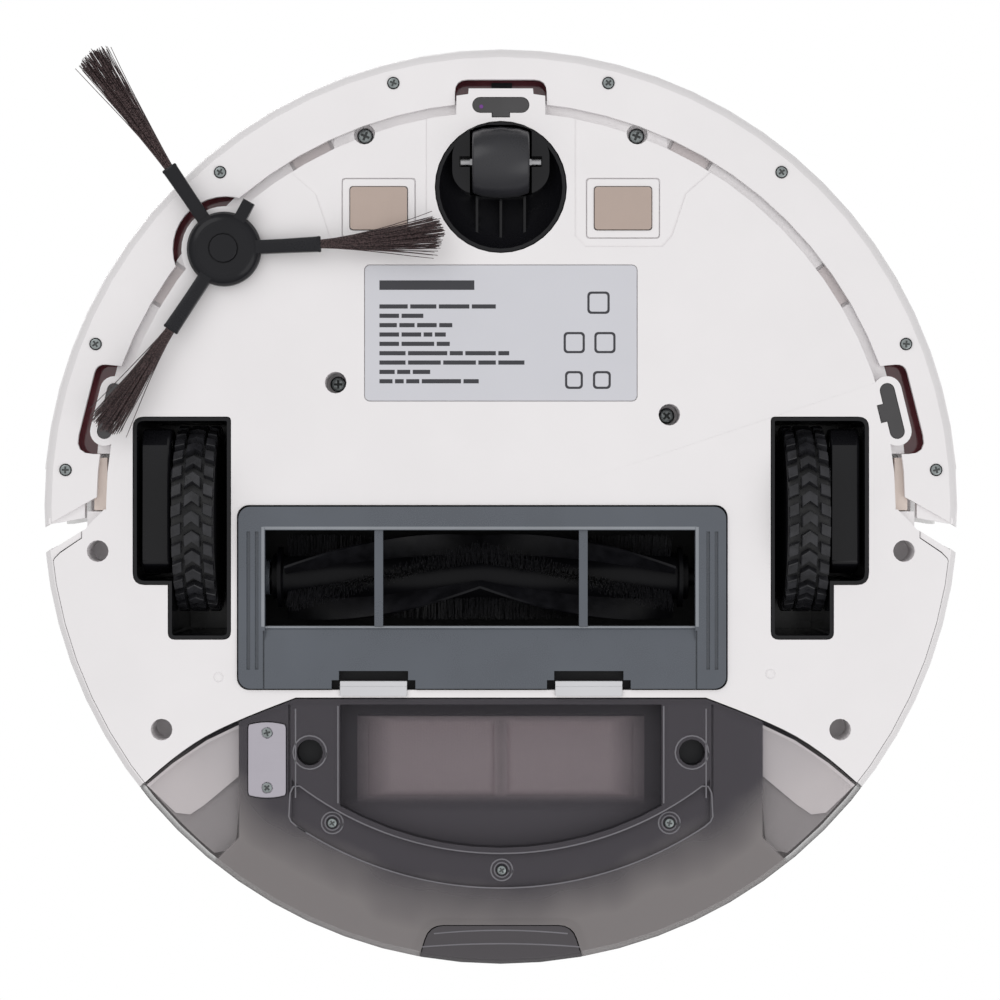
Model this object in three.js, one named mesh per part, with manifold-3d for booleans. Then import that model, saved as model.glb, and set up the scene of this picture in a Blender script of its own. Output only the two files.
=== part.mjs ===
// A round robot vacuum, standing on its wheels. Millimetres, +Z up, the front (bumper) faces -Y.
// The origin is on the floor under the centre of the round body.
import * as THREE from 'three';
import { mergeVertices } from 'three/addons/utils/BufferGeometryUtils.js';
import Module from 'manifold-3d';

const wasm = await Module();
wasm.setup();

// ---------------------------------------------------------------- driving dimensions

const GAP = 0.3; // between pieces that touch
const FAR = 220; // half size of a cutting block that is bigger than the body

const BASE_Z = 11; // underside of the bottom cover
const PLATE = 4; // its thickness
const PLATE_TOP = BASE_Z + PLATE;
const WALL_Z = PLATE_TOP + GAP; // where walls standing on the bottom cover begin
const DECK_Z = 73;
const DECK_TOP = 75.7;
const COVER_Z = 76;
const COVER_TOP = 80;

const SIDES = { large: 72, medium: 36, wheel: 24, small: 16, tiny: 8 };

// Bumper: a lower skirt inside an outer shell
const SKIRT_Z = 13;
const SKIRT_TOP = 15.2;
const SKIRT_RADIUS = 145.3;
const SHELL_Z = 19.6;
const BUMPER_END_Y = -13.7;

// Bottom cover
const FRONT_EDGE_RADIUS = 141.5;
const REAR_EDGE_RADIUS = 161.6;
const RIM_RADIUS = 139;
const RIM_TOP = 20;
const LEDGE_Z = 15.6; // a ledge at the front, over the bumper skirt
const SHELF = {
  radius: 147, lower: [16.2, 18.8], upper: [18.6, RIM_TOP], pockets: [[30.2, 37.1], [58.3, 65.1]],
};
const NOTCH_CORNER_X = 149; // inner corner of the see-through notch behind each bumper end
const SENSOR = { angle: THREE.MathUtils.degToRad(13.7), radius: 144.4, length: 20, width: 4.9 };

// Wheels
const WHEEL = { x: 109.8, y: 4.5, radius: 34, width: 15, rim: 29.5 };
const PIVOT = { y: -22.5, z: 22.5 };
const ARM = { inner: 118.8, outer: 129.2 };
const WELL = {
  inner: 96.7, step: 119.4, outer: 132, front: -32.2, back: 28.2, stepBack: 47.8, top: 72, wall: 1.2,
};

// Caster
const CASTER = { y: -114.5, radius: 23.3, top: 30.5, trail: 9, wheelRadius: 12.8, wheelWidth: 20.4 };
const CASTER_WHEEL_Y = CASTER.y - CASTER.trail;

// Side brush: three flexible arms that don't stand quite evenly
const BRUSH = { x: -98.9, y: -92, hubRadius: 13.2, hubZ: 4.6, armReach: 34, tipReach: 81 };
const BRUSH_ARM_ANGLES = [-124, -2.5, 123];
const BRUSH_TAB_ANGLE = -61;

// Main brush and its guard
const MOUTH = { left: -84.5, right: 69.6, front: 8.5, back: 43.1 };
const GUARD = { left: -94, right: 80.7, front: 0.1, back: 65.3, bottom: 9.8, top: 13.8, corner: 4.3 };
const GUARD_BARS = [[-45.3, -42.2], [28, 31.1]];
const ROLLER = { y: 25.8, z: 30, radius: 15.8, core: 8, shaft: 3, left: -83, right: 68 };
const LATCHES = { left: [-57.6, -33.6], right: [19.5, 43.5] };

// Tank at the rear
const TANK_Z = 11.3;
const TANK_SPLIT = 60; // where the lid begins
const TANK_TOP = 69.8;
const TANK_FRONT = [[128.8, 100.5], [118, 91.2], [105.9, 82.9], [91.1, 75.9], [73.5, 69]];
const TANK_ARC_Y = 4.5; // centre of the arcs in its underside
const TANK_BUTTON = filleted([
  [-31, 178], [-30.6, 167, 5], [-25.5, 150.4, 7], [25.5, 150.4, 7], [30.6, 167, 5], [31, 178],
]);
const BUTTON_TOP = 33.6;
const BUTTON_TRAVEL = 2;

// Turret
const TURRET = { radius: 45, seat: COVER_TOP + GAP, base: 84.5, slotTop: 93, top: 96 };

// Body sides from the floor up, as [radius, height]
const SIDE_PROFILE = [
  [162.4, 11.8], [164.4, 14], [165.4, 20], [167.4, 32], [169.2, 45], [170, 56], [170, 64], [169.2, 70],
];

// ---------------------------------------------------------------- looks

const LOOKS = {
  white: { color: 0xebeaea, roughness: 0.45, metalness: 0 },
  gloss_white: { color: 0xf2f1f0, roughness: 0.15, metalness: 0 },
  plate_grey: { color: 0xc9cacf, roughness: 0.35, metalness: 0.2 },
  contact: { color: 0xb9a79c, roughness: 0.35, metalness: 0.9 },
  black: { color: 0x1c1b1f, roughness: 0.4, metalness: 0 },
  rubber: { color: 0x2b2b2e, roughness: 0.75, metalness: 0 },
  slate: { color: 0x5c5f67, roughness: 0.5, metalness: 0 },
  smoke: { color: 0x55525a, roughness: 0.15, metalness: 0 },
  red: { color: 0x4a1f26, roughness: 0.15, metalness: 0 },
  window: { color: 0x353333, roughness: 0.1, metalness: 0 },
  beige: { color: 0xcab9af, roughness: 0.8, metalness: 0 },
  steel: { color: 0xb0adb3, roughness: 0.3, metalness: 0.9 },
  filter: { color: 0x77706f, roughness: 0.9, metalness: 0 },
  board: { color: 0x1f5a3a, roughness: 0.5, metalness: 0 },
  bristle: { color: 0x2d2526, roughness: 0.8, metalness: 0 },
};

// ---------------------------------------------------------------- solids

function solidFrom(geometry) {
  const bare = geometry.clone();
  bare.deleteAttribute('normal');
  bare.deleteAttribute('uv');
  const merged = mergeVertices(bare, 1e-4);
  const points = Float32Array.from(merged.attributes.position.array);
  const corner = (i) => new THREE.Vector3().fromArray(points, 3 * i);
  const triangles = [];
  let volume = 0;
  for (let i = 0; i < merged.index.count; i += 3) {
    const [a, b, c] = [0, 1, 2].map((k) => merged.index.getX(i + k));
    if (a !== b && b !== c && c !== a) {
      triangles.push([a, b, c]);
      volume += corner(a).dot(corner(b).cross(corner(c)));
    }
  }
  if (volume < 0) triangles.forEach((t) => t.reverse());
  return new wasm.Manifold(new wasm.Mesh({
    numProp: 3,
    vertProperties: points,
    triVerts: Uint32Array.from(triangles.flat()),
  }));
}

const join = (first, ...others) => others.reduce((whole, solid) => whole.add(solid), first);
const cut = (first, ...others) => others.reduce((whole, solid) => whole.subtract(solid), first);
const SIDES_OF_BODY = [-1, 1];

function box([x0, x1], [y0, y1], [z0, z1]) {
  const geometry = new THREE.BoxGeometry(x1 - x0, y1 - y0, z1 - z0);
  return solidFrom(geometry.translate((x0 + x1) / 2, (y0 + y1) / 2, (z0 + z1) / 2));
}

// A box whose x range is given for the right-hand side; side is 1 or -1
function sideBox(side, [x0, x1], ys, zs) {
  return box(side > 0 ? [x0, x1] : [-x1, -x0], ys, zs);
}

// An upright disc or cone frustum
function disc(radius, [z0, z1], x = 0, y = 0, sides = SIDES.medium, topRadius = radius) {
  const geometry = new THREE.CylinderGeometry(topRadius, radius, z1 - z0, sides);
  return solidFrom(geometry.rotateX(Math.PI / 2).translate(x, y, (z0 + z1) / 2));
}

// A rod along X
function rod(radius, [x0, x1], y, z, sides = SIDES.small) {
  const geometry = new THREE.CylinderGeometry(radius, radius, x1 - x0, sides);
  return solidFrom(geometry.rotateZ(Math.PI / 2).translate((x0 + x1) / 2, y, z));
}

const vectors = (points) => points.map(([a, b]) => new THREE.Vector2(a, b));
const closed = (points) => vectors([...points, points[0]]);

// A solid turned about the body's Z axis, from a closed outline of [radius, height] points
function turned(points, sides = SIDES.large) {
  return solidFrom(new THREE.LatheGeometry(closed(points), sides).rotateX(Math.PI / 2));
}

// A solid turned about an X axis, from a closed outline of [radius, x] points
function turnedOnX(points, y, z, sides = SIDES.wheel) {
  const geometry = new THREE.LatheGeometry(closed(points), sides);
  return solidFrom(geometry.rotateZ(-Math.PI / 2).translate(0, y, z));
}

// An outline or shape in plan, raised between two heights
function raised(outline, [z0, z1], curveSegments = 6) {
  const shape = outline instanceof THREE.Shape ? outline : new THREE.Shape(vectors(outline));
  const geometry = new THREE.ExtrudeGeometry(shape, { depth: z1 - z0, bevelEnabled: false, curveSegments });
  return solidFrom(geometry.translate(0, 0, z0));
}

// An outline of [y, z] points, stretched along X
function stretched(outline, [x0, x1]) {
  const shape = new THREE.Shape(vectors(outline));
  const geometry = new THREE.ExtrudeGeometry(shape, { depth: x1 - x0, bevelEnabled: false });
  const axes = new THREE.Matrix4().makeBasis(
    new THREE.Vector3(0, 1, 0), new THREE.Vector3(0, 0, 1), new THREE.Vector3(1, 0, 0));
  return solidFrom(geometry.applyMatrix4(axes).translate(x0, 0, 0));
}

const mirrored = (points, side) => points.map(([x, y]) => [side * x, y]);

function roundedRectangle([x0, x1], [y0, y1], r) {
  const shape = new THREE.Shape();
  shape.moveTo(x0 + r, y0);
  shape.absarc(x1 - r, y0 + r, r, -Math.PI / 2, 0);
  shape.absarc(x1 - r, y1 - r, r, 0, Math.PI / 2);
  shape.absarc(x0 + r, y1 - r, r, Math.PI / 2, Math.PI);
  shape.absarc(x0 + r, y0 + r, r, Math.PI, 1.5 * Math.PI);
  return shape;
}

// An outline with rounded corners: each corner is [x, y, radius], or [x, y] where it stays sharp
function filleted(corners, steps = 4) {
  return corners.flatMap(([x, y, radius = 0], i) => {
    const corner = new THREE.Vector2(x, y);
    if (radius <= 0) return [[x, y]];
    const [before, after] = [corners.at(i - 1), corners[(i + 1) % corners.length]].map(
      ([u, v]) => new THREE.Vector2(u, v).sub(corner).normalize());
    const reach = radius / Math.tan(Math.acos(before.dot(after)) / 2);
    const [start, end] = [before, after].map((way) => corner.clone().addScaledVector(way, reach));
    return new THREE.QuadraticBezierCurve(start, corner, end).getPoints(steps).map((p) => [p.x, p.y]);
  });
}

// A long round-ended outline around (x, y), turned by an angle
function stadium(x, y, length, width, angle) {
  const r = width / 2;
  const half = length / 2 - r;
  const [c, s] = [Math.cos(angle), Math.sin(angle)];
  const shape = new THREE.Shape();
  shape.absarc(x + half * c, y + half * s, r, angle - Math.PI / 2, angle + Math.PI / 2);
  shape.absarc(x - half * c, y - half * s, r, angle + Math.PI / 2, angle + 1.5 * Math.PI);
  return shape;
}

const towardsFront = (zs, y) => box([-FAR, FAR], [-FAR, y], zs);
const TALL = [0, 100];

// ---------------------------------------------------------------- the assembly

const robot = new THREE.Group();

function piece(name, solid, look, home = robot) {
  const { vertProperties, triVerts } = solid.getMesh();
  const geometry = new THREE.BufferGeometry();
  geometry.setAttribute('position', new THREE.BufferAttribute(Float32Array.from(vertProperties), 3));
  geometry.setIndex(Array.from(triVerts));
  const mesh = new THREE.Mesh(geometry, new THREE.MeshStandardMaterial(LOOKS[look]));
  mesh.name = name;
  home.add(mesh);
}

// ---------------------------------------------------------------- shared outlines

// What lies in front of the rear side walls, on one side: the bumper's room and the notch
const frontRoom = (side) => raised(mirrored([
  [NOTCH_CORNER_X, -FAR], [NOTCH_CORNER_X, 8], [150.7, 8.6], [165, 17.5], [168, 20.4], [169.6, 25],
  [FAR, 36], [FAR, -FAR],
], side), TALL);

// The notch alone: the top cover has it too
const notch = (side) => raised(mirrored([
  [NOTCH_CORNER_X, 4.5], [NOTCH_CORNER_X, 8], [150.7, 8.6], [165, 17.5], [FAR, 51.7], [FAR, 8.8], [163, 6.8],
], side), TALL);

const TANK_EDGE = new THREE.SplineCurve(vectors(TANK_FRONT)).getPoints(12);

// The tank's room, grown by a clearance
function tankRoom(clearance, zs) {
  const front = TANK_EDGE.map(({ x, y }) => [x, y - clearance]);
  const ends = [[-FAR, 190], [-FAR, FAR], [FAR, FAR]];
  const outline = [[FAR, 190], ...front, ...mirrored(front, -1).reverse(), ...ends];
  return raised(outline, zs);
}

function wellOutline(side, inset) {
  const corner = (x, y, radius) => [x, y, Math.max(radius - inset, 0.6)];
  return mirrored(filleted([
    corner(WELL.inner + inset, WELL.front + inset, 1.6),
    corner(WELL.outer - inset, WELL.front + inset, 4),
    corner(WELL.outer - inset, WELL.back - inset, 4.4),
    [WELL.step - inset, WELL.back - inset],
    corner(WELL.step - inset, WELL.stepBack - inset, 2.6),
    corner(WELL.inner + inset, WELL.stepBack - inset, 3),
  ]), side);
}

function sensorStadium(side, extra, zs) {
  const x = side * SENSOR.radius * Math.cos(SENSOR.angle);
  const y = -SENSOR.radius * Math.sin(SENSOR.angle);
  const turn = Math.PI / 2 + side * -SENSOR.angle;
  return raised(stadium(x, y, SENSOR.length + extra, SENSOR.width + extra, turn), zs);
}

const frontSensor = (extra, zs) => raised(stadium(0, -143.9, SENSOR.length + extra, 5.2 + extra, 0), zs);

// ---------------------------------------------------------------- bottom cover

const FRONT_SCREWS = [[-49, -133.7], [49, -133.7]]; // under the bumper's inner flange
const DEEP_HOLES = [[-59.2, -44.4], [60.4, -32.9], [-144.5, 16], [144.5, 16], [-121.6, 80], [121.6, 80]];
const CONTACTS = { centre: [43.8, -106.9], size: [20.4, 15.3], frame: [26.6, 21.8] };
const RATING_PLATE = { xs: [-48.7, 48.7], ys: [-86.4, -37.9] };

function contactRectangle(side, [width, depth], extra, zs) {
  const [x, y] = CONTACTS.centre;
  const [w, d] = [width / 2 + extra, depth / 2 + extra];
  return raised(roundedRectangle([side * x - w, side * x + w], [y - d, y + d], 1.2), zs, 3);
}

// The shallow recess around each charge contact, open to the front edge
const contactRecess = (side) => raised(mirrored([
  [26.5, -150], [26.5, -97], [30.5, -93], [58, -93], [61.5, -97], [66.5, -112], [78, -122], [90, -150],
], side), [BASE_Z - 1, BASE_Z + 0.6]);

function screwPost([x, y], [bottom, top]) {
  const post = disc(5.2, [bottom, top], x, y, SIDES.tiny);
  const hole = disc(3.9, [0, top - 1.5], x, y, SIDES.small);
  return { post, hole };
}

function chassisOutline() {
  const plate = [BASE_Z, PLATE_TOP];
  const front = disc(FRONT_EDGE_RADIUS, plate, 0, 0, SIDES.large);
  let rear = disc(REAR_EDGE_RADIUS, plate, 0, 0, SIDES.large);
  rear = cut(rear, tankRoom(0.5, TALL), towardsFront(TALL, 1.1));
  for (const side of SIDES_OF_BODY) {
    rear = cut(rear, raised(mirrored([
      [142.2, -5], [142.2, 1.1], [146.7, 5.5], [149, 8.2], [150.1, 8.9], [150.1, 11.4], [157.9, 16.7],
      [159.9, 18.7], [161, 21.6], [FAR, 36], [FAR, -5],
    ], side), TALL));
  }
  return join(cut(front, tankRoom(0.5, TALL)), rear);
}

// The shelf is lower than its pockets, where the bumper's buffers sit
function shelfPockets() {
  return SIDES_OF_BODY.flatMap((side) => SHELF.pockets.map((ends) => {
    const [first, second] = ends.map((a) => THREE.MathUtils.degToRad(a));
    return raised(mirrored([
      [0, 0],
      [FAR * Math.cos(first), -FAR * Math.sin(first)],
      [FAR * Math.cos(second), -FAR * Math.sin(second)],
    ], side), TALL);
  }));
}

function chassisFront() {
  const ring = cut(
    disc(FRONT_EDGE_RADIUS, [PLATE_TOP - 1, RIM_TOP], 0, 0, SIDES.large),
    disc(RIM_RADIUS, TALL, 0, 0, SIDES.large),
    box([-FAR, FAR], [1.5, FAR], TALL),
  );
  const ledge = cut(
    disc(147, [LEDGE_Z, 18], 0, 0, SIDES.large),
    disc(RIM_RADIUS, TALL, 0, 0, SIDES.large),
    box([-FAR, FAR], [-120, FAR], TALL),
    box([-FAR, -60], [-FAR, FAR], TALL),
    box([60, FAR], [-FAR, FAR], TALL),
  );
  const shelf = cut(
    join(disc(SHELF.radius, SHELF.upper), cut(disc(SHELF.radius, SHELF.lower), ...shelfPockets())),
    disc(RIM_RADIUS, TALL, 0, 0, SIDES.large),
    box([-FAR, FAR], [-19, FAR], TALL),
  );
  const frontBoss = raised([
    [-11.5, -149.8], [11.5, -149.8], [11.7, -147.8], [15.9, -147.2], [16, -138], [-16, -138], [-15.9, -147.2],
    [-11.7, -147.8],
  ], [BASE_Z, RIM_TOP]);
  const bosses = SIDES_OF_BODY.map((side) => sensorStadium(side, 5.4, [BASE_Z, RIM_TOP]));
  const inside = disc(RIM_RADIUS, [PLATE_TOP, 40], 0, 0, SIDES.large);
  return join(ring, ledge, shelf, cut(join(frontBoss, ...bosses), inside));
}

function casterSocket() {
  const wall = disc(CASTER.radius + 2.2, [PLATE_TOP - 1, 33], 0, CASTER.y);
  const room = disc(CASTER.radius + 0.4, [0, CASTER.top + 0.5], 0, CASTER.y);
  return { wall, room };
}

function chassisBottom() {
  const caster = casterSocket();
  const posts = [
    ...FRONT_SCREWS.map((place) => screwPost(place, [LEDGE_Z, 21.6])),
    ...DEEP_HOLES.map((place) => screwPost(place, [PLATE_TOP - 1, 30])),
  ];
  const brushBoss = join(
    disc(15.6, [BASE_Z, PLATE_TOP], BRUSH.x, BRUSH.y),
    disc(12.4, [PLATE_TOP - 1, RIM_TOP + 1], BRUSH.x, BRUSH.y),
  );
  let cover = join(chassisOutline(), chassisFront(), caster.wall, brushBoss, ...posts.map((p) => p.post));
  cover = cut(cover, caster.room, disc(4.2, TALL, 0, CASTER.y, SIDES.small), ...posts.map((p) => p.hole));
  cover = cut(cover, disc(3.6, TALL, BRUSH.x, BRUSH.y, SIDES.small));
  const guardHole = roundedRectangle(
    [GUARD.left - 0.6, GUARD.right + 0.6], [GUARD.front - 0.6, GUARD.back + 0.5], GUARD.corner);
  cover = cut(cover, raised(guardHole, TALL, 4));
  const [x0, x1] = RATING_PLATE.xs;
  const [y0, y1] = RATING_PLATE.ys;
  const plateRecess = roundedRectangle([x0 - GAP, x1 + GAP], [y0 - GAP, y1 + GAP], 2);
  cover = cut(cover, raised(plateRecess, [0, BASE_Z + 0.8], 3));
  cover = cut(cover, frontSensor(0.5, [0, 13.4]), box([-3.3, 3.3], [-143, -139.4], [0, 13.4]));
  for (const side of SIDES_OF_BODY) {
    const frame = cut(
      contactRectangle(side, CONTACTS.frame, 0, [0, 12.6]),
      contactRectangle(side, CONTACTS.frame, -0.45, TALL),
    );
    cover = cut(cover, raised(wellOutline(side, 0), TALL), contactRecess(side), frame);
    cover = cut(cover, contactRectangle(side, CONTACTS.size, GAP, [0, 13.6]));
    cover = cut(cover, sensorStadium(side, 0.5, [0, 13.4]), sensorTab(side, GAP, [0, 13.4]));
  }
  return cover;
}

// The small tab on the inner side of each side sensor window
function sensorTab(side, extra, zs) {
  const reach = SENSOR.radius - SENSOR.width / 2 - 1;
  const corners = [[-1.2 - extra, -3 - extra], [2, -3 - extra], [2, 3 + extra], [-1.2 - extra, 3 + extra]];
  const outline = corners.map(([out, along]) => {
    const radius = reach + out;
    return [
      side * (radius * Math.cos(SENSOR.angle) + along * Math.sin(SENSOR.angle)),
      along * Math.cos(SENSOR.angle) - radius * Math.sin(SENSOR.angle),
    ];
  });
  return raised(outline, zs);
}

// ---------------------------------------------------------------- upper housing and top

function upperHousing() {
  const seam = REAR_EDGE_RADIUS + GAP;
  const inner = SIDE_PROFILE.filter(([, z]) => z > 16).map(([r, z]) => [r - 2.2, z]).reverse();
  let ring = turned([
    ...SIDE_PROFILE, [168, DECK_TOP], [164, DECK_TOP], ...inner,
    [160.4, 17.4], [160.4, WALL_Z], [seam, WALL_Z], [seam, SIDE_PROFILE[0][1]],
  ]);
  ring = cut(ring, tankRoom(0.8, [0, TANK_TOP + 0.6]), towardsFront(TALL, 5));
  let frontWall = cut(
    disc(138.6, [WALL_Z, DECK_Z + 1], 0, 0, SIDES.large),
    disc(136, TALL, 0, 0, SIDES.large),
    box([-FAR, FAR], [3.8, FAR], TALL),
    disc(13.5, [0, 50], BRUSH.x, BRUSH.y, SIDES.small),
    disc(CASTER.radius + 2.8, [0, 34], 0, CASTER.y),
    ...FRONT_SCREWS.map(([x, y]) => disc(5.5, [0, 23], x, y, SIDES.tiny)),
  );
  let deck = disc(167, [DECK_Z, DECK_TOP], 0, 0, SIDES.large);
  const behindBumper = disc(147, TALL, 0, 0, SIDES.large);
  const bumperRoom = cut(disc(FAR, TALL), behindBumper, box([-FAR, FAR], [6, FAR], TALL));
  deck = cut(deck, bumperRoom);
  const envelope = turned([[0, SIDE_PROFILE[0][1]], ...SIDE_PROFILE, [168, DECK_TOP], [0, DECK_TOP]]);
  for (const side of SIDES_OF_BODY) {
    const cheek = raised(mirrored([
      [136.5, 1.8], [148.8, 1.8], [148.8, 8], [150.7, 8.8], [166, 18.3],
      [164.8, 20], [150, 11.4], [145.2, 9.4], [145.2, 3.8], [136.5, 3.8],
    ], side), [WALL_Z, DECK_Z + 1]);
    const lip = raised(mirrored([
      [150.5, 9], [165.2, 18.1], [164, 22.5], [161.4, 21.4], [160.2, 18.5], [158.1, 16.3], [150.5, 11.2],
    ], side), [SIDE_PROFILE[0][1], WALL_Z + 0.5]);
    const panel = sideBox(side, [146.8, 148.8], [-13, 2.5], [25, DECK_Z + 1]);
    const corner = join(cheek, cut(lip, frontRoom(side))).intersect(envelope);
    frontWall = join(frontWall, corner, panel);
    ring = cut(ring, frontRoom(side));
    deck = cut(deck, frontRoom(side));
  }
  return join(ring, deck, frontWall);
}

const BUTTONS = { power_button: [-15, -98], home_button: [15, -98] };
const BUTTON_RADIUS = 8;

function topCover() {
  let cover = turned([
    [0, COVER_Z], [165.4, COVER_Z], [166, 77], [165.4, 79], [163.4, COVER_TOP], [0, COVER_TOP],
  ]);
  for (const side of SIDES_OF_BODY) cover = cut(cover, notch(side));
  for (const [x, y] of Object.values(BUTTONS)) {
    cover = cut(cover, disc(BUTTON_RADIUS + 0.4, [78, 90], x, y), disc(2.4, TALL, x, y, SIDES.tiny));
  }
  return cut(cover, disc(7, TALL, 0, 20, SIDES.small));
}

function pushButton([x, y]) {
  return join(
    disc(BUTTON_RADIUS, [79.1, 80.9], x, y),
    disc(1.9, [76.4, 79.6], x, y, SIDES.tiny),
  );
}

const TURRET_Y = 20;

function addTop() {
  piece('upper_housing', upperHousing(), 'white');
  piece('top_cover', topCover(), 'gloss_white');
  for (const [name, place] of Object.entries(BUTTONS)) piece(name, pushButton(place), 'plate_grey');
  const base = cut(
    disc(TURRET.radius, [TURRET.seat, TURRET.base], 0, TURRET_Y, SIDES.medium, TURRET.radius - 1),
    disc(7, TALL, 0, TURRET_Y, SIDES.small),
  );
  piece('turret_base', base, 'gloss_white');
  const { radius, slotTop, top } = TURRET;
  let cap = disc(radius - 1, [slotTop, top], 0, TURRET_Y, SIDES.medium, radius - 3);
  for (const turn of [0.25, 0.75, 1.25, 1.75].map((t) => t * Math.PI)) {
    const [x, y] = [40.5 * Math.cos(turn), TURRET_Y + 40.5 * Math.sin(turn)];
    cap = join(cap, disc(2, [TURRET.base + GAP, TURRET.slotTop + 1], x, y, SIDES.tiny));
  }
  piece('turret_cap', cap, 'gloss_white');
  const rotor = cut(
    join(disc(36, [85.4, 92.4], 0, TURRET_Y), disc(5.6, [77, 86], 0, TURRET_Y, SIDES.small)),
    box([-12, 12], [TURRET_Y - 40, TURRET_Y - 28], [86.5, 91.5]),
  );
  piece('lidar_rotor', rotor, 'black');
}

// ---------------------------------------------------------------- underside fittings

function addFittings() {
  piece('chassis_bottom', chassisBottom(), 'white');
  const plate = roundedRectangle(RATING_PLATE.xs, RATING_PLATE.ys, 1.8);
  piece('rating_plate', raised(plate, [10.9, 11.5], 3), 'plate_grey');
  const frontWindow = join(frontSensor(0, [11.1, 13.1]), box([-3, 3], [-143, -139.7], [11.1, 13.1]));
  piece('cliff_window_front', frontWindow, 'window');
  for (const [side, word] of [[-1, 'left'], [1, 'right']]) {
    piece(`charge_contact_${word}`, contactRectangle(side, CONTACTS.size, 0, [11, 13.3]), 'contact');
    const window = join(sensorStadium(side, 0, [11.1, 13.1]), sensorTab(side, 0, [11.1, 13.1]));
    piece(`cliff_window_${word}`, window, 'window');
    piece(`bumper_pad_${word}`, sideBox(side, [141.8, 146.4], [-17.5, 1.4], [16, 21.4]), 'beige');
    const well = cut(
      raised(wellOutline(side, GAP), [BASE_Z + 0.2, WELL.top]),
      raised(wellOutline(side, GAP + WELL.wall), [0, WELL.top - WELL.wall]),
    );
    piece(`wheel_well_${word}`, well, 'black');
  }
}

function addInsides() {
  piece('battery_pack', box([-38, 38], [-84, -12], [17, 38]), 'slate');
  piece('main_board', box([-60, 60], [-86, -8], [44, 46]), 'board');
  piece('side_brush_motor', disc(11, [23, 45], BRUSH.x, BRUSH.y, SIDES.small), 'black');
  piece('brush_motor', rod(9, [80.5, 94.5], 30, 34), 'black');
  const fan = { x: -5, y: 30, radius: 28 };
  const fanHousing = cut(
    disc(fan.radius, [53, 71], fan.x, fan.y, SIDES.wheel),
    disc(fan.radius - 2, [55, 69], fan.x, fan.y, SIDES.wheel),
    disc(12, [60, 80], fan.x, fan.y, SIDES.small),
  );
  piece('fan_housing', fanHousing, 'black');
  const blades = [0, 1, 2, 3, 4, 5].map((i) => {
    const blade = new THREE.BoxGeometry(15, 1.6, 8).translate(14, 0, 61).rotateZ(i * Math.PI / 3);
    return solidFrom(blade.translate(fan.x, fan.y, 0));
  });
  const impeller = join(
    disc(8, [56, 66], fan.x, fan.y, SIDES.small),
    disc(22.5, [56, 58], fan.x, fan.y, SIDES.small),
    ...blades,
  );
  piece('fan_impeller', impeller, 'plate_grey');
}

// ---------------------------------------------------------------- bumper

function bumperShell() {
  const opening = turned([[163, 34], [FAR, 34], [FAR, 58], [163, 58]]);
  const window = cut(opening, box([-FAR, FAR], [-55, FAR], TALL));
  const shell = turned([
    [164.9, SHELL_Z], [165.6, 24], [167.3, 33], [169.3, 45], [170, 52], [170, 62], [169.2, 69], [166.5, 72.4],
    [152, 72.4], [152, 70.4], [165.5, 70.4], [167.2, 67.5], [167.8, 62], [167.6, 52], [167, 45], [165.1, 33],
    [163.4, 25.4], [162.6, SHELL_Z],
  ]);
  return cut(shell, box([-FAR, FAR], [BUMPER_END_Y, FAR], TALL), window);
}

function bumperSkirt() {
  const ring = turned([
    [SKIRT_RADIUS, SKIRT_Z], [157, SKIRT_Z], [161.5, 13.8], [163.8, 16], [164.9, 19.3], [162.6, 19.3],
    [161.6, 17], [160, 15.8], [157, SKIRT_TOP], [SKIRT_RADIUS, SKIRT_TOP],
  ]);
  const behind = raised([[-FAR, 39], [-140, -6.3], [140, -6.3], [FAR, 39], [FAR, FAR], [-FAR, FAR]], TALL);
  let skirt = cut(ring, behind, disc(19, TALL, BRUSH.x, BRUSH.y - 0.4));
  const frontRecess = filleted([[-16.5, -140], [-16.5, -153.3, 4.5], [16.5, -153.3, 4.5], [16.5, -140]]);
  skirt = cut(skirt, raised(frontRecess, TALL));
  for (const side of SIDES_OF_BODY) {
    const sensorRoom = filleted([[136, -50.4], [145.2, -51.3, 4], [153.4, -18.8, 5.5], [136, -18.8]]);
    skirt = cut(skirt, raised(mirrored(sensorRoom, side), TALL));
    const flapOutline = [[149.6, -3], [162.6, 4.4], [162.6, 6.4], [149.6, 4.2]];
    const flap = raised(mirrored(flapOutline, side), [14.4, 19.3]);
    skirt = join(skirt, flap);
  }
  return skirt;
}

function bumperWindow() {
  const inner = turned([
    [147.5, 22], [162.4, 22], [164.7, 33], [166.6, 45], [167.2, 52], [167.2, 62], [165.6, 62], [165.6, 53],
    [165, 45], [163.1, 34], [160.9, 23.6], [147.5, 23.6],
  ]);
  const pane = turned([
    [164.4, 34.4], [167.3, 34.4], [169.2, 46], [169.7, 52], [169.6, 57.6], [166, 57.6], [166, 46],
  ]);
  const band = cut(pane, box([-FAR, FAR], [-55.4, FAR], TALL));
  return cut(join(inner, band), box([-FAR, FAR], [BUMPER_END_Y + 1, FAR], TALL),
    disc(14.8, [0, 50], BRUSH.x, BRUSH.y - 1.5));
}

function addBumper() {
  piece('bumper_shell', bumperShell(), 'white');
  piece('bumper_skirt', bumperSkirt(), 'white');
  piece('bumper_ir_window', bumperWindow(), 'red');
}

// ---------------------------------------------------------------- caster

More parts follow.
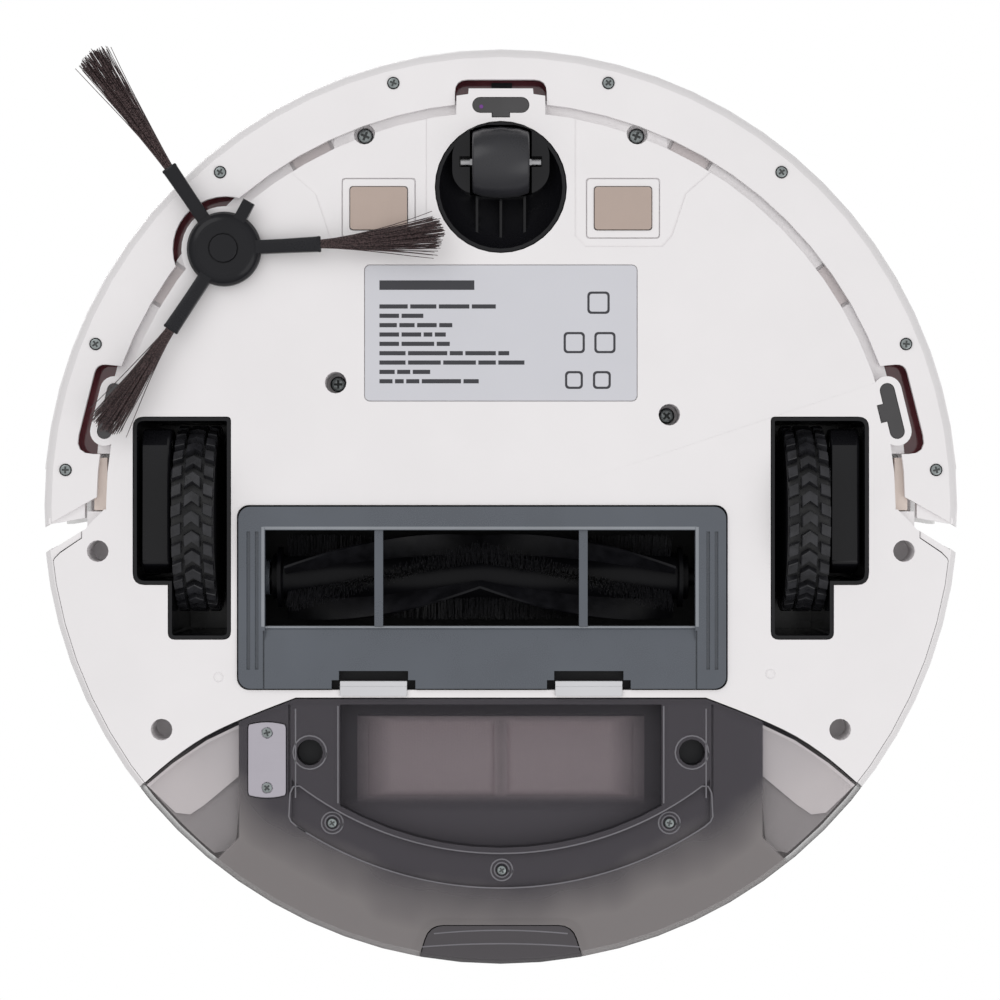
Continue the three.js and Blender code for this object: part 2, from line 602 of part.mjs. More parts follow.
function casterSwivel() {
  const y = CASTER.y;
  const [bowlRadius, bowlDepth] = [22.1, 11.6];
  const bowlProfile = [0, 1, 2, 3, 4, 5, 6, 7, 8].map((k) => {
    const a = k * Math.PI / 16;
    return [bowlRadius * Math.cos(a), BASE_Z + 0.2 + bowlDepth * Math.sin(a)];
  });
  const bowlOutline = [[0, 0], [bowlRadius, 0], ...bowlProfile.slice(0, -1), [0, BASE_Z + 0.2 + bowlDepth]];
  const bowl = turned(bowlOutline, SIDES.medium).translate([0, y, 0]);
  const body = cut(disc(CASTER.radius, [BASE_Z + 0.2, CASTER.top], 0, y), bowl);
  const cheeks = raised(roundedRectangle([-17.4, 17.4], [y - 19.4, y + 2.5], 8.5), [10.4, 24], 5);
  const ribs = [-8.6, 0, 8.6].map((x) => box([x - 0.45, x + 0.45], [y + 2, y + 17.5], [18, 24]));
  const stem = disc(3.8, [CASTER.top - 1, 37], 0, y, SIDES.small);
  const reach = CASTER.wheelWidth / 2 + 0.9;
  const wheelRoom = turnedOnX([
    [0, -reach], [11.9, -reach], [13.5, -5], [13.5, 5], [11.9, reach], [0, reach],
  ], CASTER_WHEEL_Y, CASTER.wheelRadius);
  const below = box([-reach, reach], [CASTER_WHEEL_Y - 11, CASTER_WHEEL_Y + 13.4], [0, CASTER.wheelRadius]);
  const axleSlotYs = [CASTER_WHEEL_Y - 1.9, CASTER_WHEEL_Y + 1.9];
  const axleSlot = box([-14.8, 14.8], axleSlotYs, [0, CASTER.wheelRadius + 1.9]);
  const bowlLimit = disc(CASTER.radius - 0.4, TALL, 0, y);
  const inner = join(cheeks, ...ribs).intersect(bowlLimit);
  return cut(join(body, inner, stem), wheelRoom, below, axleSlot);
}

function addCaster() {
  piece('caster_swivel', casterSwivel(), 'black');
  piece('caster_axle', rod(1.5, [-14.4, 14.4], CASTER_WHEEL_Y, CASTER.wheelRadius, SIDES.tiny), 'steel');
  const half = CASTER.wheelWidth / 2;
  const wheel = turnedOnX([
    [1.8, -half], [11, -half], [12.2, -6.5], [CASTER.wheelRadius, 0], [12.2, 6.5], [11, half], [1.8, half],
  ], CASTER_WHEEL_Y, CASTER.wheelRadius);
  piece('caster_wheel', wheel, 'rubber');
}

// ---------------------------------------------------------------- side brush

function brushArm(angle, reach, width) {
  const middle = 0.6 * reach;
  const outline = [[6, 10.2], [middle, 8.6], [reach, 6.6], [reach, 4.4], [middle, 5.2], [6, 5.2]];
  const shape = new THREE.Shape(vectors(outline));
  const geometry = new THREE.ExtrudeGeometry(shape, { depth: width, bevelEnabled: false });
  geometry.rotateX(Math.PI / 2).translate(0, width / 2, 0);
  return solidFrom(geometry.rotateZ(THREE.MathUtils.degToRad(angle)).translate(BRUSH.x, BRUSH.y, 0));
}

// A flat bundle of bristles that spreads and comes down to the floor
function brushTuft(angle) {
  const start = BRUSH.armReach + GAP;
  const sections = [[start, 1.6, 4.8, 6.2], [55, 3.1, 2.9, 4.4], [BRUSH.tipReach, 5.2, 0.5, 2.4]];
  const points = [];
  for (const [reach, halfWidth, low, high] of sections) {
    points.push([reach, -halfWidth, low], [reach, halfWidth, low]);
    points.push([reach, halfWidth, high], [reach, -halfWidth, high]);
  }
  const faces = [[0, 3, 2, 1], [8, 9, 10, 11]];
  for (const first of [0, 4]) {
    for (let k = 0; k < 4; k += 1) {
      const next = (k + 1) % 4;
      faces.push([first + k, first + next, first + 4 + next, first + 4 + k]);
    }
  }
  const geometry = new THREE.BufferGeometry();
  geometry.setAttribute('position', new THREE.BufferAttribute(new Float32Array(points.flat()), 3));
  geometry.setIndex(faces.flatMap(([a, b, c, d]) => [a, b, c, a, c, d]));
  return solidFrom(geometry.rotateZ(THREE.MathUtils.degToRad(angle)).translate(BRUSH.x, BRUSH.y, 0));
}

function addSideBrush() {
  const dome = disc(BRUSH.hubRadius - 3.4, [BRUSH.hubZ, 7], BRUSH.x, BRUSH.y, SIDES.medium, BRUSH.hubRadius);
  const rim = disc(BRUSH.hubRadius, [7, 10.6], BRUSH.x, BRUSH.y);
  const stem = disc(3.2, [10, 22.5], BRUSH.x, BRUSH.y, SIDES.small);
  const arms = BRUSH_ARM_ANGLES.map((angle) => brushArm(angle, BRUSH.armReach, 4.7));
  const capRoom = disc(5.4, [0, BRUSH.hubZ + 0.9], BRUSH.x, BRUSH.y, SIDES.small);
  const hub = cut(join(dome, rim, stem, brushArm(BRUSH_TAB_ANGLE, 19, 4.4), ...arms), capRoom);
  piece('side_brush_hub', hub, 'black');
  const cap = disc(5.1, [BRUSH.hubZ - 0.5, BRUSH.hubZ + 0.6], BRUSH.x, BRUSH.y, SIDES.small);
  piece('side_brush_cap', cap, 'black');
  BRUSH_ARM_ANGLES.forEach((angle, i) => piece(`side_brush_tuft_${i + 1}`, brushTuft(angle), 'bristle'));
}

// ---------------------------------------------------------------- drive units

function addDriveUnit(side, word) {
  const along = ([x0, x1]) => (side > 0 ? [x0, x1] : [-x1, -x0]);
  const inner = WHEEL.x - WHEEL.width / 2;
  const outer = WHEEL.x + WHEEL.width / 2;
  const arm = stretched([
    [-28, 19], [-22, 14.6], [21, 14.6], [24.2, 23], [20, 41], [6, 50], [-12, 50], [-28, 30],
  ], along([ARM.inner, ARM.outer]));
  const pinRoom = rod(2.3, along([ARM.inner - 1, ARM.outer + 1]), PIVOT.y, PIVOT.z, SIDES.tiny);
  const axleRoom = rod(3, along([ARM.inner - 1, ARM.inner + 6]), WHEEL.y, WHEEL.radius, SIDES.small);
  piece(`wheel_arm_${word}`, cut(arm, pinRoom, axleRoom), 'black');
  piece(`arm_pin_${word}`, rod(2, along([ARM.inner, ARM.outer]), PIVOT.y, PIVOT.z, SIDES.tiny), 'steel');
  const motorY = WHEEL.y - 14;
  piece(`drive_motor_${word}`, rod(9.5, along([inner + 4, ARM.inner - GAP]), motorY, WHEEL.radius), 'steel');
  const outward = (points) => points.map(([r, x]) => [r, side * x]);
  const hub = turnedOnX(outward([
    [0, inner + 0.4], [WHEEL.rim, inner + 0.4], [WHEEL.rim, outer - 0.4], [WHEEL.rim - 2.5, outer - 0.4],
    [WHEEL.rim - 2.5, inner + 2.6], [3.6, inner + 2.6], [3.6, outer], [2.6, outer], [2.6, ARM.inner + 4],
    [0, ARM.inner + 4],
  ]), WHEEL.y, WHEEL.radius);
  piece(`wheel_hub_${word}`, hub, 'black');
  const rimSeat = WHEEL.rim + GAP;
  const tyre = turnedOnX(outward([
    [rimSeat, inner], [32.6, inner], [WHEEL.radius, inner + 1.6], [WHEEL.radius, outer - 1.6], [32.6, outer],
    [rimSeat, outer],
  ]), WHEEL.y, WHEEL.radius, SIDES.medium);
  piece(`tyre_${word}`, tyre, 'rubber');
}

// ---------------------------------------------------------------- main brush

function brushChamber() {
  const flange = box([GUARD.left - 2, GUARD.right + 2], [GUARD.front - 1.5, 67.4], [WALL_Z, 17]);
  const outside = box([-92, 79], [3.6, 50], [16, 52]);
  const inside = box([-90.5, 77.5], [5.4, 48.4], [0, 50.4]);
  const outlet = box([-40, 25], [40, 60], [22, 46]);
  return cut(join(flange, outside), inside, outlet);
}

function brushGuard() {
  const zs = [GUARD.bottom, GUARD.top];
  const frame = roundedRectangle([GUARD.left, GUARD.right], [GUARD.front, GUARD.back], GUARD.corner);
  const mouth = box([MOUTH.left, MOUTH.right], [MOUTH.front, MOUTH.back], TALL);
  const barYs = [MOUTH.front - 1, MOUTH.back + 1];
  const bars = GUARD_BARS.map((xs) => box(xs, barYs, [GUARD.bottom + 0.8, GUARD.top]));
  let guard = join(cut(raised(frame, zs, 4), mouth), ...bars);
  const slope = [[43, 9], [48.2, 9], [48.2, GUARD.bottom], [43, 12.2]];
  guard = cut(guard, stretched(slope, [MOUTH.left, MOUTH.right]));
  for (const x of [-90.4, -87.4, 74.2, 77.2]) {
    guard = cut(guard, box([x - 0.6, x + 0.6], [9, 58.4], [9, GUARD.bottom + 0.9]));
  }
  for (const x of [MOUTH.left - 0.4, MOUTH.right + 0.4]) {
    guard = cut(guard, box([x - 0.25, x + 0.25], [44.5, 67], [9, GUARD.bottom + 0.8]));
  }
  for (const [x0, x1] of Object.values(LATCHES)) {
    guard = cut(guard, box([x0 - 3, x1 + 3], [62.2, 67], TALL), box([x0 - 0.4, x1 + 0.4], [58.9, 63], TALL));
  }
  return guard;
}

function addMainBrush() {
  piece('brush_chamber', brushChamber(), 'black');
  const { left, right, radius, core, shaft } = ROLLER;
  const roller = turnedOnX([
    [0, left - 5.5], [shaft, left - 5.5], [shaft, left], [core, left], [core, left + 4], [radius, left + 4],
    [radius, right - 4], [core, right - 4], [core, right], [shaft, right], [shaft, right + 8], [0, right + 8],
  ], ROLLER.y, ROLLER.z);
  piece('main_brush', roller, 'bristle');
  const bearing = cut(
    rod(6.5, [left - 7.2, left - 1], ROLLER.y, ROLLER.z),
    rod(shaft + GAP, [left - 6, left], ROLLER.y, ROLLER.z),
  );
  piece('brush_bearing', bearing, 'slate');
  piece('brush_guard', brushGuard(), 'slate');
  for (const [word, xs] of Object.entries(LATCHES)) {
    const latch = join(box(xs, [62.6, 65.1], [9.9, 12.8]), box(xs, [64.5, 67.9], [9.7, 10.7]));
    piece(`guard_latch_${word}`, latch, 'plate_grey');
  }
}

// ---------------------------------------------------------------- tank

function tankBody(clearance, zs) {
  const side = SIDE_PROFILE.filter(([, z]) => z > 12 && z < TANK_TOP);
  const round = turned([[0, TANK_Z], [162.2, TANK_Z], ...side, [169.2, TANK_TOP], [0, TANK_TOP]]);
  return round.intersect(tankRoom(clearance, zs));
}

const tankArc = (radius, zs) => disc(radius, zs, 0, TANK_ARC_Y, SIDES.large);

function tankShell() {
  let shell = tankBody(0, [0, TANK_SPLIT]);
  const aroundButton = TANK_BUTTON.map(([x, y]) => [x * 1.09, y - 2.4]);
  const buttonBlock = raised(aroundButton, [0, BUTTON_TOP + BUTTON_TRAVEL + 2.6]);
  const recess = tankArc(117.9, [0, 18]).intersect(box([-57.6, 57.6], [71, 130], TALL));
  const recessBlock = tankArc(120.4, [0, 20.5]).intersect(box([-60.1, 60.1], [60, 130], TALL));
  const room = SIDE_PROFILE.filter(([, z]) => z > 15 && z < TANK_SPLIT).map(([r, z]) => [r - 2.2, z]);
  const round = turned([[0, 14.6], [162.4, 14.6], ...room, [167.6, TANK_SPLIT + 1], [0, TANK_SPLIT + 1]]);
  const cavity = cut(
    round.intersect(tankRoom(-2.6, TALL)),
    buttonBlock,
    recessBlock,
    ...SIDES_OF_BODY.map((side) => disc(7, [0, 19], side * 68.5, 88.2, SIDES.small)),
  );
  const channel = cut(
    tankArc(132.3, [0, 12.9]).intersect(box([-75, 75], [98, 150], TALL)),
    tankArc(119.9, TALL),
  );
  shell = cut(shell, cavity, recess, channel);
  const buttonRoom = TANK_BUTTON.map(([x, y]) => [x * 1.012, y - 0.35]);
  shell = cut(shell, raised(buttonRoom, [0, BUTTON_TOP + BUTTON_TRAVEL + 0.3]));
  for (const side of SIDES_OF_BODY) {
    shell = cut(shell, disc(4.7, [0, 17], side * 68.5, 88.2, SIDES.small));
    shell = cut(shell, sideBox(side, [75.4, 76.2], [71, 104], [0, 12.2]));
  }
  shell = cut(shell, contactPlate(0.3, [0, 12.6]));
  return cut(shell, box([-35, 20], [60, 78], [26, 46]));
}

// A plate with slightly bulged ends
function contactPlate(extra, zs) {
  const [x, y] = [-83.8, 90.9];
  const [halfWidth, halfLength, endRadius] = [6.8 + extra, 13.6 + extra, 23.6];
  const strip = raised(roundedRectangle([x - halfWidth, x + halfWidth], [y - 14.2, y + 14.2], 3), TALL, 3);
  const ends = SIDES_OF_BODY.map(
    (end) => disc(endRadius, zs, x, y + end * (halfLength - endRadius), SIDES.large));
  return strip.intersect(ends[0]).intersect(ends[1]);
}

function addTank() {
  piece('tank_shell', tankShell(), 'smoke');
  const lidRoom = disc(164, [0, TANK_TOP - 2.6], 0, 0, SIDES.large).intersect(tankRoom(-4, TALL));
  piece('tank_lid', cut(tankBody(0, [TANK_SPLIT + GAP, 100]), lidRoom), 'black');
  const frame = box([-52, 52], [76, 108], [22, 34]);
  const pads = [[-48, -2.4], [2.4, 48]].map((xs) => box(xs, [79, 105], [20, 23.2]));
  piece('dust_filter', cut(frame, ...pads), 'filter');
  piece('tank_contact_plate', contactPlate(0, [11, 12.3]), 'steel');
  const button = tankBody(0, [0, BUTTON_TOP]).intersect(raised(TANK_BUTTON, [TANK_Z + 0.3, BUTTON_TOP]));
  piece('tank_button', button, 'smoke');
}

addFittings();
addTop();
addInsides();
addBumper();
addCaster();
addSideBrush();
addDriveUnit(-1, 'left');
addDriveUnit(1, 'right');
addMainBrush();
addTank();

export default robot;
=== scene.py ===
"""The looks of a round robot vacuum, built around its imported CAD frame.

Everything is in the frame's own axes: +Z up, the bumper (front) towards -Y, the tank (rear) towards +Y, and
the origin on the floor under the centre of the body. Shapes are written in millimetres and made in metres.
"""

import math
import random

import bmesh
import bpy
from mathutils import Matrix, Vector


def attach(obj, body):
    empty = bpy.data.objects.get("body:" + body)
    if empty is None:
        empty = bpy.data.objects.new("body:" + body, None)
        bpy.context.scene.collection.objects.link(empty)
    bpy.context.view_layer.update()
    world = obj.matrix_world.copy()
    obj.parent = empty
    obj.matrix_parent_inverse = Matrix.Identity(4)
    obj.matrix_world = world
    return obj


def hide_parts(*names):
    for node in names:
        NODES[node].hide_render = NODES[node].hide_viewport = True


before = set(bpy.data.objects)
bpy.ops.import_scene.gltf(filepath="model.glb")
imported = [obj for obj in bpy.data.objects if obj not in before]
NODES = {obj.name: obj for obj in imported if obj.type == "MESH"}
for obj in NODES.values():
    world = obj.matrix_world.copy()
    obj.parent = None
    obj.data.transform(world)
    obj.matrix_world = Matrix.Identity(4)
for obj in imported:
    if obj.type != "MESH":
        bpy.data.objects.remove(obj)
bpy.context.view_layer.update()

# ---------------------------------------------------------------- driving dimensions

MM = 0.001
TAU = 2 * math.pi

# drive wheels: the x of each; the tyre's radii at its blocks, between them and at its seat, its half
# width, and how many rows of blocks it has
WHEEL_Y, WHEEL_Z = 4.5, 34.0
WHEELS = {"left": -109.8, "right": 109.8}
TYRE = {"radius": 33.95, "floor": 31.4, "seat": 29.8, "half": 7.5, "rows": 29}

# side brush: for each arm its angle, how far its bristles reach and how far they bend aside at the tip;
# a sleeve's sections are (distance from the axis, half width, low, high)
BRUSH = Vector((-98.9, -92.0, 0.0))
BRUSH_ARMS = (-124.0, -2.5, 123.0)
BRUSH_REACH = (84.5, 79.5, 78.5)
BRUSH_BEND = (0.0, -1.5, 0.6)
SLEEVE = [(13.0, 2.45, 5.0, 9.6), (21.0, 2.5, 4.9, 8.7), (33.4, 2.75, 4.1, 7.0), (34.3, 2.9, 4.1, 6.9),
          (34.8, 2.7, 4.3, 6.7)]
TUFT = {"start": 32.5, "root_z": 5.5, "tip_z": 1.0, "bristles": 150}

# roller brush: its axis, its core's radius, and how far its blades and bristles run and turn, in
# degrees; then the angle of each blade and row of bristles at the middle
ROLLER = {"y": 25.8, "z": 30.0, "core": 8.0, "left": -79.0, "right": 64.0, "turn": 95.0}
ROLLER_BLADES = (12, 132, 252)
ROLLER_BRISTLES = (72, 192, 312)
ROLLER_TUFTS = {"count": 118, "bristles": 7}

# the mouth of the brush guard, and the height of the paler strips round it, which are painted highlights
MOUTH = {"left": -84.5, "right": 69.6, "front": 8.5, "back": 43.1, "low": 9.7}

# pads above the bumper skirt: the angles that each covers, and their radii and heights
BUFFER_ANGLES = [(30.7, 36.6), (58.8, 64.6)]
BUFFER = {"inner": 141.8, "outer": 146.8, "low": 17.9, "high": 18.55}

# screws: (x, y) or, for the deep ones, (x, y, z) of the head
SKIRT_SCREWS = [(38.6, -152.0), (100.8, -120.0), (145.5, -58.3), (156.3, -13.1)]
DEEP_SCREWS = [(-49.0, -133.7, 18.9), (49.0, -133.7, 18.9), (-59.2, -44.4, 27.3), (60.4, -32.9, 27.3)]
PLATE_SCREWS = [(-83.8, 81.1), (-83.8, 100.8)]
CHANNEL_SCREWS = [(-60.5, 113.6), (60.5, 113.6), (0.3, 130.5)]

# small marks of the mould at the rear of the bottom cover
BASE_PIPS = [(-101.2, 61.2), (96.6, 60.0)]

# tank: the arc channel's centre and radii, the sockets, where the plastic turns pale behind the channel,
# the wall of the recess under the filter, where the wings start, the (y, half length) of each grip line
# on the button, and the filter's middle and half sizes
CHANNEL_CENTRE = (0.0, 4.5)
CHANNEL = {"inner": 119.9, "outer": 132.3}
SOCKET = (68.5, 88.2)
PALE_BEHIND = (129, 147)
RECESS_WALL = {"middle": 19.25, "reach": 1.6, "fade": (104.0, 111.0)}
WING = {"inner": (93.6, 94.2), "rib": (24.4, 25.2)}
BUTTON_GRIPS = [(153.2, 24), (158.0, 29)]
FILTER_CLOTH = {"middle": 90.5, "half_width": 54.5, "half_depth": 17}

# ---------------------------------------------------------------- node materials


def srgb(red, green, blue):
    """A display colour (0 to 255) as the linear values that shaders use."""
    def linear(c):
        c /= 255
        return c / 12.92 if c <= 0.04045 else ((c + 0.055) / 1.055) ** 2.4
    return (linear(red), linear(green), linear(blue), 1.0)


def scaled(colour, by):
    return (colour[0] * by, colour[1] * by, colour[2] * by, 1.0)


class Look:
    """A Principled material under construction. Sizes are in millimetres, on the piece's own coordinates."""

    def __init__(self, name, **plain):
        self.material = bpy.data.materials.new(name)
        self.material.use_nodes = True
        self.tree = self.material.node_tree
        self.shader = self.tree.nodes["Principled BSDF"]
        self.coordinates = self.tree.nodes.new("ShaderNodeTexCoord").outputs["Object"]
        for socket, value in plain.items():
            self.shader.inputs[socket.replace("_", " ")].default_value = value

    def put(self, kind, inputs, **settings):
        node = self.tree.nodes.new("ShaderNode" + kind)
        for key, value in settings.items():
            setattr(node, key, value)
        for key, value in inputs.items():
            if isinstance(value, bpy.types.NodeSocket):
                self.tree.links.new(value, node.inputs[key])
            else:
                node.inputs[key].default_value = value
        return node

    def place(self, stretch=(1, 1, 1)):
        """The piece's coordinates in millimetres, shrunk along each axis by stretch."""
        scale = [1 / (MM * s) for s in stretch]
        return self.put("Mapping", {"Vector": self.coordinates, "Scale": scale}).outputs[0]

    def noise(self, size, detail=2.0, where=None):
        return self.put("TexNoise", {"Vector": where or self.place(), "Scale": 1 / size,
                                     "Detail": detail}).outputs[0]

    def cells(self, size, feature="F1"):
        return self.put("TexVoronoi", {"Vector": self.place(), "Scale": 1 / size},
                        feature=feature).outputs["Distance"]

    def waves(self, size):
        """Bands across x; the wave texture's own bands are about a third of its scale."""
        return self.put("TexWave", {"Vector": self.place(), "Scale": 1 / (size * 3.2)}).outputs["Fac"]

    def spread(self, value, low, high, start=0.3, end=0.7):
        """Value, from start to end, as a number from low to high."""
        return self.put("MapRange", {"Value": value, "From Min": start, "From Max": end, "To Min": low,
                                     "To Max": high}).outputs[0]

    def shades(self, value, *stops):
        """Value as a colour, from stops of (position, colour)."""
        node = self.put("ValToRGB", {"Fac": value})
        elements = node.color_ramp.elements
        while len(elements) < len(stops):
            elements.new(0.5)
        for element, (position, colour) in zip(elements, stops):
            element.position = position
            element.color = colour
        return node.outputs[0]

    def mixed(self, value, first, second):
        node = self.put("Mix", {}, data_type="RGBA")
        for key, source in ((0, value), (6, first), (7, second)):
            if isinstance(source, bpy.types.NodeSocket):
                self.tree.links.new(source, node.inputs[key])
            else:
                node.inputs[key].default_value = source
        return node.outputs[2]

    def maths(self, operation, first, second=0.0):
        return self.put("Math", {0: first, 1: second}, operation=operation).outputs[0]

    def along(self, axis):
        """One coordinate of the piece, in millimetres."""
        return self.put("SeparateXYZ", {0: self.place()}).outputs[axis]

    def colour(self, source):
        self.tree.links.new(source, self.shader.inputs["Base Color"])

    def rough(self, source):
        self.tree.links.new(source, self.shader.inputs["Roughness"])

    def open_by(self, source):
        self.tree.links.new(source, self.shader.inputs["Alpha"])

    def bump(self, height, depth):
        """Raises the surface by up to depth millimetres where height is 1."""
        normal = self.put("Bump", {"Height": height, "Strength": 1.0, "Distance": depth * MM}).outputs[0]
        self.tree.links.new(normal, self.shader.inputs["Normal"])


def moulded(name, colour, roughness, grain=0.35, depth=0.012, tone=0.05, uneven=0.06, **plain):
    """Moulded plastic: an eroded grain, slow changes of tone, and gloss that varies with handling."""
    look = Look(name, **plain)
    slow = look.noise(28.0, detail=3.0)
    fine = look.noise(grain, detail=2.0)
    look.colour(look.shades(slow, (0.3, scaled(colour, 1 - tone)), (0.7, scaled(colour, 1 + tone * 0.4))))
    gloss = look.maths("ADD", look.spread(slow, -uneven, uneven), look.spread(fine, -uneven / 2, uneven / 2))
    look.rough(look.maths("ADD", gloss, roughness))
    look.bump(fine, depth)
    return look.material


def metal(name, colour, roughness, grain, tone=0.12):
    """Brushed metal: fine streaks along the direction in which grain is long."""
    look = Look(name, Metallic=1.0)
    streaks = look.noise(1.0, detail=3.0, where=look.place(grain))
    slow = look.noise(6.0, detail=2.0)
    both = look.maths("ADD", look.maths("MULTIPLY", streaks, 0.7), look.maths("MULTIPLY", slow, 0.3))
    look.colour(look.shades(both, (0.3, scaled(colour, 1 - tone)), (0.7, scaled(colour, 1 + tone))))
    look.rough(look.spread(streaks, roughness - 0.08, roughness + 0.1))
    look.bump(streaks, 0.004)
    return look.material


def rubber(name, colour, roughness, **plain):
    """Moulded rubber: dull, with a dusty bloom on a fine pitted grain."""
    look = Look(name, **plain)
    bloom = look.noise(5.0, detail=4.0)
    pits = look.cells(0.5)
    look.colour(look.shades(bloom, (0.35, scaled(colour, 0.75)), (0.75, scaled(colour, 1.7))))
    look.rough(look.spread(bloom, roughness - 0.1, roughness + 0.12))
    look.bump(pits, 0.03)
    return look.material


def smoke(name, front, rear, solid, recess, wing):
    """Smoke-tinted plastic over a dark inside, paler behind the arc channel, and denser where seen edge on,
    where it is also painted darker: a painted shade for the dark edges of its walls.

    solid is how much one face hides; recess and wing are the same for the recess floor and for the wings.
    """
    look = Look(name, Coat_Weight=0.08, Coat_Roughness=0.05, IOR=1.07)
    flow = look.noise(34.0, detail=2.0)
    fine = look.noise(0.6, detail=1.0)
    out, back = look.along(0), look.maths("SUBTRACT", look.along(1), CHANNEL_CENTRE[1])
    squares = look.maths("ADD", look.maths("MULTIPLY", out, out), look.maths("MULTIPLY", back, back))
    distance = look.maths("ADD", look.maths("SQRT", squares), look.spread(flow, -4, 4))
    rear_share = look.spread(distance, 0.0, 1.0, *PALE_BEHIND)
    edge = look.put("LayerWeight", {"Blend": 0.25}).outputs["Facing"]
    steep = look.spread(edge, 0, 1, 0.4, 0.85)
    tint = look.shades(rear_share, (0.0, front), (1.0, rear))
    # where a face is seen edge on its colour is painted darker: painted shade on the tank's walls and rim
    look.colour(look.mixed(steep, tint, srgb(26, 24, 28)))
    look.rough(look.spread(look.noise(9.0), 0.08, 0.2))
    from_recess = look.maths("ABSOLUTE", look.maths("SUBTRACT", look.along(2), RECESS_WALL["middle"]))
    in_recess = look.spread(from_recess, 1, 0, RECESS_WALL["reach"], RECESS_WALL["reach"] + 0.2)
    in_recess = look.maths("MULTIPLY", in_recess, look.spread(look.along(1), 1, 0, *RECESS_WALL["fade"]))
    across = look.maths("ABSOLUTE", out)
    behind_rib = look.spread(look.maths("SUBTRACT", look.along(1), across), 1, 0, *WING["rib"])
    in_wing = look.maths("MULTIPLY", look.spread(across, 0, 1, *WING["inner"]), behind_rib)
    hiding = look.maths("SUBTRACT", solid, look.maths("MULTIPLY", in_recess, solid - recess))
    hiding = look.maths("SUBTRACT", hiding, look.maths("MULTIPLY", in_wing, solid - wing))
    look.open_by(look.maths("MAXIMUM", hiding, look.maths("MULTIPLY", steep, 0.97)))
    look.bump(fine, 0.004)
    return look.material


def hair(name, root, tip):
    """Nylon bristles, each of its own shade."""
    look = Look(name)
    shade = look.noise(0.5, detail=1.0, where=look.place((1, 1, 4)))
    look.colour(look.shades(shade, (0.35, root), (0.65, tip)))
    look.rough(look.spread(shade, 0.35, 0.6))
    look.bump(shade, 0.05)
    return look.material


def filter_cloth(name):
    """Fine filter felt in two panels, dark round the outside and with a faint seam between them."""
    look = Look(name)
    folds = look.waves(1.1)
    felt = look.noise(0.8, detail=4.0)
    both = look.maths("ADD", look.maths("MULTIPLY", folds, 0.1), look.maths("MULTIPLY", felt, 0.9))
    across = look.maths("ABSOLUTE", look.along(0))
    along = look.maths("ABSOLUTE", look.maths("SUBTRACT", look.along(1), FILTER_CLOTH["middle"]))
    across_share = look.maths("MULTIPLY", across, 1 / FILTER_CLOTH["half_width"])
    along_share = look.maths("MULTIPLY", along, 1 / FILTER_CLOTH["half_depth"])
    edges = look.spread(look.maths("MAXIMUM", across_share, along_share), 0, 1, 0.72, 1.0)
    seam = look.spread(across, 0.35, 0, 0.4, 4.4)
    clean = look.shades(both, (0.2, srgb(230, 210, 214)), (0.8, srgb(248, 230, 234)))
    look.colour(look.mixed(look.maths("MAXIMUM", edges, seam), clean, srgb(84, 78, 82)))
    look.rough(look.spread(felt, 0.8, 0.98))
    look.bump(both, 0.15)
    return look.material


def board(name):
    """Circuit board: copper tracks under green lacquer."""
    look = Look(name)
    tracks = look.cells(3.2, feature="DISTANCE_TO_EDGE")
    specks = look.noise(1.2, detail=3.0)
    green = look.shades(specks, (0.3, srgb(18, 70, 44)), (0.7, srgb(26, 92, 60)))
    look.colour(look.mixed(look.spread(tracks, 1.0, 0.0, 0.0, 0.12), green, srgb(60, 128, 84)))
    look.rough(look.spread(specks, 0.3, 0.5))
    look.bump(tracks, 0.05)
    return look.material


def gloss_dark(name, colour):
    """A polished dark window: nearly smooth, with the faint waves of its mould."""
    look = Look(name, Coat_Weight=0.5, Coat_Roughness=0.03)
    slow = look.noise(12.0, detail=2.0)
    look.colour(look.shades(slow, (0.3, scaled(colour, 0.8)), (0.7, scaled(colour, 1.25))))
    look.rough(look.spread(slow, 0.05, 0.16))
    look.bump(slow, 0.05)
    return look.material


def floor_look():
    """A pale floor that is only there from above, so that the underside can be seen through it."""
    look = Look("floor_pale")
    slow = look.noise(400.0, detail=4.0)
    look.colour(look.shades(slow, (0.3, srgb(228, 227, 225)), (0.7, srgb(236, 235, 234))))
    look.rough(look.spread(slow, 0.5, 0.65))
    look.bump(look.noise(3.0), 0.02)
    under = look.put("NewGeometry", {}).outputs["Backfacing"]
    through = look.put("BsdfTransparent", {})
    mix = look.put("MixShader", {0: under, 1: look.shader.outputs[0], 2: through.outputs[0]})
    look.tree.links.new(mix.outputs[0], look.tree.nodes["Material Output"].inputs["Surface"])
    return look.material


WHITE = moulded("white_moulded", srgb(235, 232, 233), 0.42, depth=0.004, tone=0.02, Specular_IOR_Level=0.4)
GLOSS = moulded("white_gloss", srgb(240, 240, 239), 0.16, grain=2.0, depth=0.004, tone=0.015, uneven=0.03,
                Coat_Weight=0.6, Coat_Roughness=0.05)
LABEL = moulded("label_silver", srgb(205, 205, 211), 0.36, grain=0.2, depth=0.003, tone=0.02)
PRINT = moulded("label_ink", srgb(48, 48, 54), 0.5, grain=0.2, depth=0.002)
BUTTON = moulded("button_grey", srgb(205, 205, 208), 0.32, tone=0.03)
BLACK_GLOSS = moulded("black_gloss", srgb(20, 20, 23), 0.2, grain=0.8, depth=0.008, tone=0.2, uneven=0.06,
                      Coat_Weight=0.12, Coat_Roughness=0.12, Specular_IOR_Level=0.18)
BLACK_DEEP = moulded("black_matt", srgb(22, 22, 25), 0.5, tone=0.2, Specular_IOR_Level=0.25)
HUB = moulded("black_soft", srgb(24, 24, 28), 0.24, tone=0.2, Specular_IOR_Level=0.22)
ARM = moulded("black_arm", srgb(20, 20, 23), 0.24, grain=0.8, tone=0.2, Specular_IOR_Level=0.22)
ROLLER_CORE = moulded("roller_core_black", srgb(12, 12, 15), 0.4, tone=0.2, Specular_IOR_Level=0.12)
# a dark piece in each screw's cross recess: painted shade
RECESS_SHADE = moulded("screw_recess_painted_shade", srgb(62, 66, 66), 0.5, tone=0.1)
